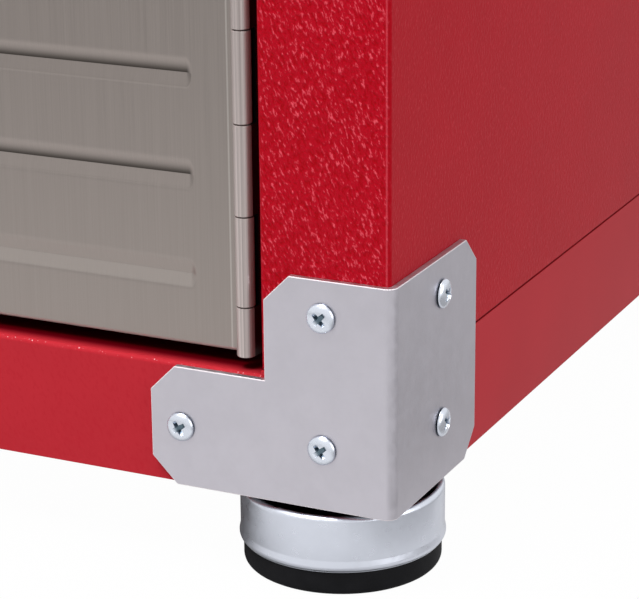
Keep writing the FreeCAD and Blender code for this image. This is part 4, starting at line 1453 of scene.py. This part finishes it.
    def face(self, shape: Shape) -> list[bmesh.types.BMVert]:
        """Adds the ribbed face to the shape and returns the vertices round its border.

        Args:
            shape: Shape that takes the face.

        Returns:
            The vertices, one after the other.
        """
        layer = shape.marks()
        heights = self.heights()
        columns = self.columns()
        grid = []
        for z in self.rows(heights):
            row = []
            for x in columns:
                near = self.nearness(x, z, heights)
                vertex = shape.mesh.verts.new((x, self.low.y + self.dent(near), z))
                vertex[layer] = self.tone(x, z, near, heights)
                row.append(vertex)
            grid.append(row)
        for first, second in zip(grid, grid[1:]):
            shape.bridge(first, second, closed=False)
        right = [row[-1] for row in grid[1:-1]]
        left = [row[0] for row in grid[-2:0:-1]]
        return grid[0] + right + grid[-1][::-1] + left

    def outward(self, place: Vector) -> Vector:
        """Which way out of the sheet a point of the border looks, as -1, 0 or 1 in X and Z.

        Args:
            place: Point of the border.

        Returns:
            The way out.
        """
        way = Vector()
        for axis in (0, 2):
            for end, sign in ((self.low, -1), (self.high, 1)):
                if abs(end[axis] - sign * self.bend - place[axis]) < HAIR:
                    way[axis] = sign
        return way

    def shape(self) -> Shape:
        """The whole closed sheet, with its painted tones in the shade layer.

        Returns:
            The sheet.
        """
        shape = Shape()
        border = self.face(shape)
        ways = [self.outward(vertex.co) for vertex in border]
        layer = shape.marks()
        previous = border
        for out, y in self.wall():
            places = [vertex.co + way * out for vertex, way in zip(border, ways)]
            ring = shape.ring([Vector((place.x, y, place.z)) for place in places])
            # The fold round the face gets a painted highlight.
            if y < self.low.y + self.bend:
                for vertex in ring:
                    vertex[layer] = -self.edge_light
            shape.bridge(previous, ring)
            previous = ring
        shape.face(previous)
        return shape.closed()


@dataclass
class BarHandle:
    """Bent round bar with a rosette at each foot."""

    radius: float = 5.5 * MM
    bend: float = 14.0 * MM
    stand: float = 30.0 * MM
    rosette_radius: float = 9.0 * MM
    rosette_height: float = 3.0 * MM
    rosette_soft: float = 0.6 * MM
    steps: int = 12
    sides: int = 32

    def rosette(self) -> list[Pair]:
        """Section of a rosette, with its upper edge rounded.

        Returns:
            Pairs of radius and height.
        """
        r, h, soft = self.rosette_radius, self.rosette_height, self.rosette_soft
        rounding = arc((r - soft, h - soft), soft, 0, 90, 5)
        return [(0.0, 0.0), (r, 0.0), (r, h - soft), *rounding[1:], (0.0, h)]

    def shape(self, first: Vector, second: Vector) -> Shape:
        """Handle between two feet on a front that faces -Y.

        Args:
            first: One foot.
            second: The other foot.

        Returns:
            The bar and its rosettes.
        """
        along = (second - first).normalized()
        length = (second - first).length
        corners = ((0, 0), (0, self.stand), (length, self.stand), (length, 0))
        flat = rounded([Vector(corner) for corner in corners], (self.bend, self.bend), self.steps)
        path = [first + along * point.x - Y_AXIS * point.y for point in flat]
        handle = swept(path, self.radius, along.cross(Y_AXIS), self.sides)
        rosette = self.rosette()
        for foot in (first, second):
            handle.add(turned(rosette, foot, -Y_AXIS, 2 * self.sides))
        return handle


class HingeLeaf(Enum):
    """The two leaves of a hinge, as the index of their lowest knuckle."""

    FRAME = 0
    DOOR = 1


@dataclass
class PianoHinge:
    """Continuous hinge of the right door: knuckles in turn on two leaves."""

    first_knuckle: float = 20.9 * MM
    knuckle: float = 36.9 * MM
    gap: float = 0.45 * MM
    bore: float = 1.85 * MM
    chamfer: float = 0.4 * MM
    chamfer_knee: float = 0.3
    sheet: float = 1.2 * MM
    relief: float = 0.6 * MM
    sides: int = 32

    def __post_init__(self) -> None:
        """Reads the barrel's place from the frame."""
        low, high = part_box("right_frame_hinge_leaf")
        self.radius = (high.x - low.x) / 2
        self.axis = Vector(((low.x + high.x) / 2, low.y + self.radius))
        self.outside = high.x
        self.span = (low.z, high.z)
        self.rear = high.y

    def knuckles(self) -> list[Pair]:
        """Lower and upper end of every knuckle.

        Returns:
            Pairs of heights, from the lowest up.
        """
        marks = [self.span[0], self.span[0] + self.first_knuckle]
        while marks[-1] + self.knuckle < self.span[1]:
            marks.append(marks[-1] + self.knuckle)
        marks.append(self.span[1])
        return list(zip(marks, marks[1:]))

    def leaf(self, leaf: HingeLeaf) -> Shape:
        """One leaf: a comb-edged plate, given painted shade all over as it stands in the dark gap,
        and every second knuckle.

        Args:
            leaf: Which of the two.

        Returns:
            The leaf.
        """
        if leaf is HingeLeaf.FRAME:
            x = self.outside - self.sheet
            bottom, top = self.span
        else:
            x = self.axis.x - self.radius
            bottom, top = (corner.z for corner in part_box("right_door_skin"))
        notch = self.axis.y + self.radius + self.relief
        knuckles = [(a + self.gap / 2, b - self.gap / 2) for a, b in self.knuckles()[leaf.value::2]]
        comb = [(self.rear, top), (self.rear, bottom), (notch, bottom)]
        for a, b in knuckles:
            a, b = max(a, bottom), min(b, top)
            comb += [(notch, a), (self.axis.y, a), (self.axis.y, b), (notch, b)]
        comb.append((notch, top))
        outline = [Vector((x, y, z)) for y, z in comb]
        pairs = zip(outline, outline[-1:] + outline)
        outline = [point for point, before in pairs if (point - before).length > HAIR]
        shape = plate(outline, X_AXIS * self.sheet)
        # The whole plate takes painted shade.
        layer = shape.marks()
        for vertex in shape.mesh.verts:
            vertex[layer] = 1.0
        for a, b in knuckles:
            shape.add(self.barrel(a, b))
        return shape

    def barrel(self, low: float, high: float) -> Shape:
        """One knuckle.

        Args:
            low: Height of its lower end.
            high: Height of its upper end.

        Returns:
            The knuckle.
        """
        r, c = self.radius, self.chamfer
        knee = c * self.chamfer_knee
        length = high - low
        profile = [
            (self.bore, 0.0), (r - c, 0.0), (r - knee, knee), (r, c),
            (r, length - c), (r - knee, length - knee), (r - c, length), (self.bore, length),
        ]
        foot = Vector((self.axis.x, self.axis.y, low))
        return turned(profile, foot, Z_AXIS, self.sides, tube=True)


@dataclass
class Doors(Assembly):
    """Both doors with their hinges and handles."""

    hinge: PianoHinge = field(default_factory=PianoHinge)
    handle: BarHandle = field(default_factory=BarHandle)

    def build(self) -> None:
        """Makes the right door's pieces and mirrors them for the left."""
        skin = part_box("right_door_skin")
        low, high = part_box("right_door_handle")
        x = (low.x + high.x) / 2
        rosette = self.handle.rosette_radius
        feet = [Vector((x, skin[0].y, z)) for z in (low.z + rosette, high.z - rosette)]
        shapes = {
            "door_skin": (RibbedFront(*skin).shape(), STAINLESS),
            "door_handle": (self.handle.shape(*feet), HANDLE),
            "door_hinge_leaf": (self.hinge.leaf(HingeLeaf.DOOR), HINGE),
            "frame_hinge_leaf": (self.hinge.leaf(HingeLeaf.FRAME), HINGE),
        }
        for side in Side:
            for word, (shape, finish) in shapes.items():
                node = f"{side.word}_{word}"
                body = FIXED_BODY if word.startswith("frame") else side.word + "_door"
                placed = shape if side is Side.RIGHT else shape.changed(mirror(X_AXIS))
                self.keep(placed, node + "_form", body, finish, node)


@dataclass
class CamLock(Assembly):
    """Cylinder lock: a flanged housing and a plug with a keyway."""

    barrel: float = 9.0 * MM
    flange: float = 3.0 * MM
    plug: float = 6.0 * MM
    play: float = 0.05 * MM
    keyway_width: float = 1.6 * MM
    keyway_height: float = 7.4 * MM
    keyway_depth: float = 3.0 * MM
    soft: float = 0.8 * MM
    chamfer: float = 0.4 * MM
    sides: int = 64

    def build(self) -> None:
        """Makes housing and plug."""
        low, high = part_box("lock_housing")
        foot = Vector(((low.x + high.x) / 2, low.y, (low.z + high.z) / 2))
        outer = (high.x - low.x) / 2
        length = high.y - low.y
        bore = self.plug + self.play
        rounding = arc((outer - self.soft, 0.0), self.soft, 90, 0, 6)
        profile = [
            (bore, self.chamfer), (bore + self.chamfer, 0.0),
            *[(radius, self.soft - rise) for radius, rise in rounding],
            (outer, self.flange), (self.barrel, self.flange), (self.barrel, length), (bore, length),
        ]
        housing = turned(profile, foot, Y_AXIS, self.sides, tube=True)
        self.keep(housing, "lock_housing_form", "right_door", LOCK, "lock_housing")
        low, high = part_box("lock_plug")
        length = high.y - low.y
        profile = [
            (0.0, 0.0), (self.plug - self.chamfer, 0.0), (self.plug, self.chamfer),
            (self.plug, length), (0.0, length),
        ]
        front = Vector((foot.x, low.y, foot.z))
        half = Vector((self.keyway_width / 2, self.keyway_depth, self.keyway_height / 2))
        plug = carved(turned(profile, front, Y_AXIS, self.sides), block(front - half, front + half))
        self.keep(plug, "lock_plug_form", "lock_barrel", LOCK, "lock_plug")


@dataclass
class Drawer(Assembly):
    """The drawer's front and handle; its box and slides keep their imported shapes."""

    handle: BarHandle = field(default_factory=BarHandle)

    def build(self) -> None:
        """Makes the front and its handle."""
        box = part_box("drawer_front")
        front = RibbedFront(*box).shape()
        self.keep(front, "drawer_front_form", "drawer", STAINLESS, "drawer_front")
        low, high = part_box("drawer_handle")
        z = (low.z + high.z) / 2
        rosette = self.handle.rosette_radius
        feet = [Vector((x, box[0].y, z)) for x in (low.x + rosette, high.x - rosette)]
        self.keep(self.handle.shape(*feet), "drawer_handle_form", "drawer", HANDLE, "drawer_handle")


@dataclass
class Feet(Assembly):
    """Four levelling feet: a pressed cup with a stud, and a rubber pad in it."""

    sheet: float = 1.6 * MM
    cup: float = 42.1 * MM
    cup_top: float = 34.4 * MM
    shoulder: float = 2.4 * MM
    bead: float = 42.8 * MM
    bead_z: float = 12.4 * MM
    bead_rise: float = 3.2 * MM
    rim: float = 41.6 * MM
    rim_z: float = 10.6 * MM
    pad: float = 40.9 * MM
    pad_soft: float = 0.6 * MM
    plug: float = 37.4 * MM
    tread: float = 3.0 * MM
    stud: float = 6.0 * MM
    stud_soft: float = 0.8 * MM
    bend_steps: int = 8
    sides: int = 128

    def cup_profile(self, stud_top: float) -> list[Pair]:
        """Section of cup and stud, from the stud's top down and up again inside.

        The cup's top is a single face: inside it lies as high as outside.

        Args:
            stud_top: Height of the stud's top.

        Returns:
            Pairs of radius and height.
        """
        outer = [
            Vector((self.stud, self.cup_top)), Vector((self.cup, self.cup_top)),
            Vector((self.cup, self.bead_z + self.bead_rise)), Vector((self.bead, self.bead_z)),
            Vector((self.rim, self.rim_z)),
        ]
        inner = [Vector((point.x - self.sheet, point.y)) for point in outer]
        inner[0].x = 0.0
        radii = (self.shoulder, self.shoulder, self.shoulder)
        tight = (self.shoulder - self.sheet, self.shoulder, self.shoulder)
        line = [(point.x, point.y) for point in rounded(outer, radii, self.bend_steps)]
        back = [(point.x, point.y) for point in rounded(inner, tight, self.bend_steps)[::-1]]
        soft = self.stud_soft
        top = [(0.0, stud_top), (self.stud - soft, stud_top), (self.stud, stud_top - soft)]
        half = self.sheet / 2
        rolled = arc((self.rim - half, self.rim_z + half / 2), half, 0, -180, 6)
        return top + line[:-1] + [(r, max(z, self.rim_z)) for r, z in rolled] + back[1:]

    def pad_profile(self, plug_top: float) -> list[Pair]:
        """Section of the pad, from its underside up.

        Args:
            plug_top: Height of the plug's top.

        Returns:
            Pairs of radius and height.
        """
        corner = arc((self.pad - self.tread, self.tread), self.tread, -90, 0, self.bend_steps)
        soft = self.pad_soft
        top = arc((self.pad - soft, self.rim_z - soft), soft, 0, 90, 4)
        plug = [(self.plug, self.rim_z), (self.plug, plug_top), (0.0, plug_top)]
        return [(0.0, 0.0), *corner, *top, *plug]

    def build(self) -> None:
        """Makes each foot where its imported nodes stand."""
        for depth in ("front", "rear"):
            for side in Side:
                name = f"{depth}_{side.word}_foot"
                low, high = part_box(name + "_cup")
                foot = Vector(((low.x + high.x) / 2, (low.y + high.y) / 2, 0))
                cup = turned(self.cup_profile(high.z), foot, Z_AXIS, self.sides)
                self.keep(cup, name + "_cup_form", name, CUP_ZINC, name + "_cup")
                plug_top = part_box(name + "_pad")[1].z
                pad = turned(self.pad_profile(plug_top), foot, Z_AXIS, self.sides)
                self.keep(pad, name + "_pad_form", name, RUBBER, name + "_pad")


@dataclass
class CarriedOver(Assembly):
    """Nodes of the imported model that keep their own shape, softened and given a finish."""

    edge: float = 0.2 * MM
    edge_angle: float = math.radians(50)

    def build(self) -> None:
        """Softens the edges of every node that still shows."""
        slots = {part["node"]: part["material_slot"] for part in frame["record"]["subparts"]}
        for node, piece in frame["nodes"].items():
            if piece.hide_render:
                continue
            weld = piece.modifiers.new("weld", "WELD")
            weld.merge_threshold = HAIR
            soft = piece.modifiers.new("soft_edges", "BEVEL")
            soft.width = self.edge
            soft.segments = 2
            soft.limit_method = "ANGLE"
            soft.angle_limit = self.edge_angle
            soft.harden_normals = True
            self.pieces.append((piece, SLOT_FINISHES[slots[node]]))
            LOG.info("%s keeps its shape", node)


# --- Studio ---------------------------------------------------------------------------------------
@dataclass
class AreaLamp:
    """Soft rectangular lamp that points at a target."""

    name: str
    place: tuple[float, float, float]
    target: tuple[float, float, float]
    size: float
    power: float

    def build(self) -> None:
        """Adds the lamp, unseen by the camera."""
        data = bpy.data.lights.new(self.name, "AREA")
        data.shape = "SQUARE"
        data.size = self.size
        data.energy = self.power
        lamp = bpy.data.objects.new(self.name, data)
        lamp.location = self.place
        way = Vector(self.target) - Vector(self.place)
        lamp.rotation_euler = way.to_track_quat("-Z", "Y").to_euler()
        lamp.visible_camera = False
        bpy.context.scene.collection.objects.link(lamp)


@dataclass
class Studio:
    """White floor and world, lamps and camera.

    Gloss sees painted tones on the floor: white near the cabinet, far_gloss beyond the fade,
    flank_tones from front to back beside it, and a painted shadow beneath it.
    """

    ambient: float = 0.22
    floor_size: float = 12.0
    floor_glow: float = 0.985
    bounce: float = 0.3
    paper: Colour = (0.65, 0.65, 0.65)
    gloss_glow: float = 0.86
    fade: Pair = (0.48, 1.1)
    far_gloss: float = 0.58
    flank_start: Pair = (0.0 * MM, 80.0 * MM)
    flank_dip: Pair = (-0.55, -0.22)
    flank_rise: Pair = (-0.08, 0.12)
    flank_tones: tuple[float, float, float] = (0.85, 0.40, 0.60)
    # Painted shadow under the cabinet, as gloss sees the floor.
    under_edge: Pair = (-30.0 * MM, 60.0 * MM)
    under_tone: float = 0.12
    camera_side: float = 359.41 * MM
    camera_out: float = 812.57 * MM
    camera_up: float = 383.38 * MM
    azimuth: float = 25.582
    elevation: float = 18.253
    roll: float = -0.4957
    lens: float = 138.99
    clip_start: float = 0.02
    lamps: tuple[AreaLamp, ...] = (
        AreaLamp("key_lamp", (-0.21, -1.67, 2.8), (0.1, -0.2, 0.2), 1.0, 78),
        AreaLamp("top_lamp", (0.2, -0.6, 3.2), (0.2, 0.0, 0.3), 1.6, 34),
        AreaLamp("side_lamp", (3.0, -0.5, 1.2), (0.3, 0.0, 0.3), 2.0, 30),
    )

    def world(self) -> None:
        """White for what sees the background, softer for what it lights."""
        world = bpy.data.worlds.new("studio_world")
        world.use_nodes = True
        nodes = Nodes(world.node_tree)
        path = nodes.add("LightPath")
        seen = nodes.math("MAXIMUM", path.outputs["Is Camera Ray"], path.outputs["Is Glossy Ray"])
        seen = nodes.math("MAXIMUM", seen, path.outputs["Is Transmission Ray"])
        background = world.node_tree.nodes["Background"]
        nodes.feed(background.inputs["Color"], WHITE)
        nodes.feed(background.inputs["Strength"], nodes.ramp(seen, 0.0, 1.0, self.ambient, 1.0))
        bpy.context.scene.world = world

    def reach(
        self, nodes: Nodes, place: bpy.types.NodeSocket, low: float, high: float
    ) -> bpy.types.NodeSocket:
        """How far inside low..high a coordinate lies; it is negative outside."""
        away = nodes.math("ABSOLUTE", nodes.math("SUBTRACT", place, (low + high) / 2))
        return nodes.math("SUBTRACT", (high - low) / 2, away)

    def gloss_tone(self, nodes: Nodes) -> bpy.types.NodeSocket:
        """How light gloss sees the floor: painted tones, dimmer far off and beside the cabinet, and
        a painted shadow under it.

        Args:
            nodes: Node tree of the floor's material.

        Returns:
            Strength of the glow.
        """
        place = nodes.add("TexCoord").outputs["Object"]
        parts = nodes.add("SeparateXYZ", {0: place})
        x, y = parts.outputs[0], parts.outputs[1]
        low, high = CAD_BOX
        far = nodes.add("VectorMath", {0: place}, operation="LENGTH").outputs["Value"]
        ahead = nodes.ramp(far, *self.fade, 1.0, self.far_gloss)
        first, dip, last = self.flank_tones
        behind = nodes.ramp(y, *self.flank_rise, dip, last)
        flank = nodes.ramp(y, *self.flank_dip, first, behind)
        beside = nodes.math("SUBTRACT", x, high.x)
        tone = nodes.ramp(beside, *self.flank_start, ahead, flank)
        inside = nodes.math(
            "MINIMUM", self.reach(nodes, x, low.x, high.x), self.reach(nodes, y, low.y, high.y)
        )
        return nodes.ramp(inside, *self.under_edge, tone, self.under_tone)

    def floor(self) -> None:
        """White floor that keeps the cabinet's shadow, with painted tones and a painted shadow
        under the cabinet for gloss.
        """
        material = bpy.data.materials.new("white_sweep")
        material.use_nodes = True
        nodes = Nodes(material.node_tree)
        material.node_tree.nodes.clear()
        rays = nodes.add("LightPath").outputs
        gloss = nodes.math("MAXIMUM", rays["Is Glossy Ray"], rays["Is Transmission Ray"])
        gloss = nodes.math("MULTIPLY", gloss, self.gloss_glow)
        direct = nodes.math("MULTIPLY", rays["Is Camera Ray"], self.floor_glow)
        # For diffuse rays the floor glows a little, as painted bounce light on the cabinet.
        bounced = nodes.math("MULTIPLY", rays["Is Diffuse Ray"], self.bounce)
        white = nodes.math("MAXIMUM", direct, bounced)
        paper = nodes.add("BsdfDiffuse", {"Color": self.paper}).outputs[0]
        glow = {"Color": WHITE, "Strength": self.gloss_tone(nodes)}
        in_gloss = nodes.add("Emission", glow).outputs[0]
        in_view = nodes.add("Emission", {"Color": WHITE, "Strength": 1.0}).outputs[0]
        lit = nodes.add("MixShader", {0: gloss, 1: paper, 2: in_gloss}).outputs[0]
        seen = nodes.add("MixShader", {0: white, 1: lit, 2: in_view}).outputs[0]
        nodes.add("OutputMaterial", {"Surface": seen})
        half = self.floor_size / 2
        sheet = Shape()
        corners = ((-half, -half), (half, -half), (half, half), (-half, half))
        sheet.face(sheet.ring([Vector((x, y, 0.0)) for x, y in corners]))
        piece = sheet.piece("studio_floor")
        piece.data.materials.append(material)

    def camera(self) -> None:
        """Camera low before the right front corner."""
        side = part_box("right_side_panel")[1].x
        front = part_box("right_side_panel")[0].y
        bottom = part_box("base_right_skirt")[0].z
        data = bpy.data.cameras.new("camera")
        data.lens = self.lens
        data.dof.use_dof = False
        data.clip_start = self.clip_start
        camera = bpy.data.objects.new("camera", data)
        bpy.context.scene.collection.objects.link(camera)
        turn = Matrix.Rotation(math.radians(self.azimuth), 4, "Z")
        tilt = Matrix.Rotation(math.radians(90 - self.elevation), 4, "X")
        spin = Matrix.Rotation(math.radians(self.roll), 4, "Z")
        place = Vector((side + self.camera_side, front - self.camera_out, bottom + self.camera_up))
        camera.matrix_world = Matrix.Translation(place) @ turn @ tilt @ spin
        bpy.context.scene.camera = camera

    def build(self) -> None:
        """Makes the studio."""
        self.world()
        self.floor()
        for lamp in self.lamps:
            lamp.build()
        self.camera()
        bpy.context.scene.view_settings.view_transform = "Standard"


def main() -> None:
    """Builds and dresses the cabinet in its studio."""
    logging.basicConfig(level=logging.INFO, format="%(name)s: %(message)s")
    Studio().build()
    kinds = (CabinetBody, CornerBrackets, Doors, CamLock, Drawer, Feet, CarriedOver)
    for assembly in (kind() for kind in kinds):
        LOG.info("building %s", type(assembly).__name__)
        assembly.build()
        assembly.dress()


if __name__ == "__main__":
    main()
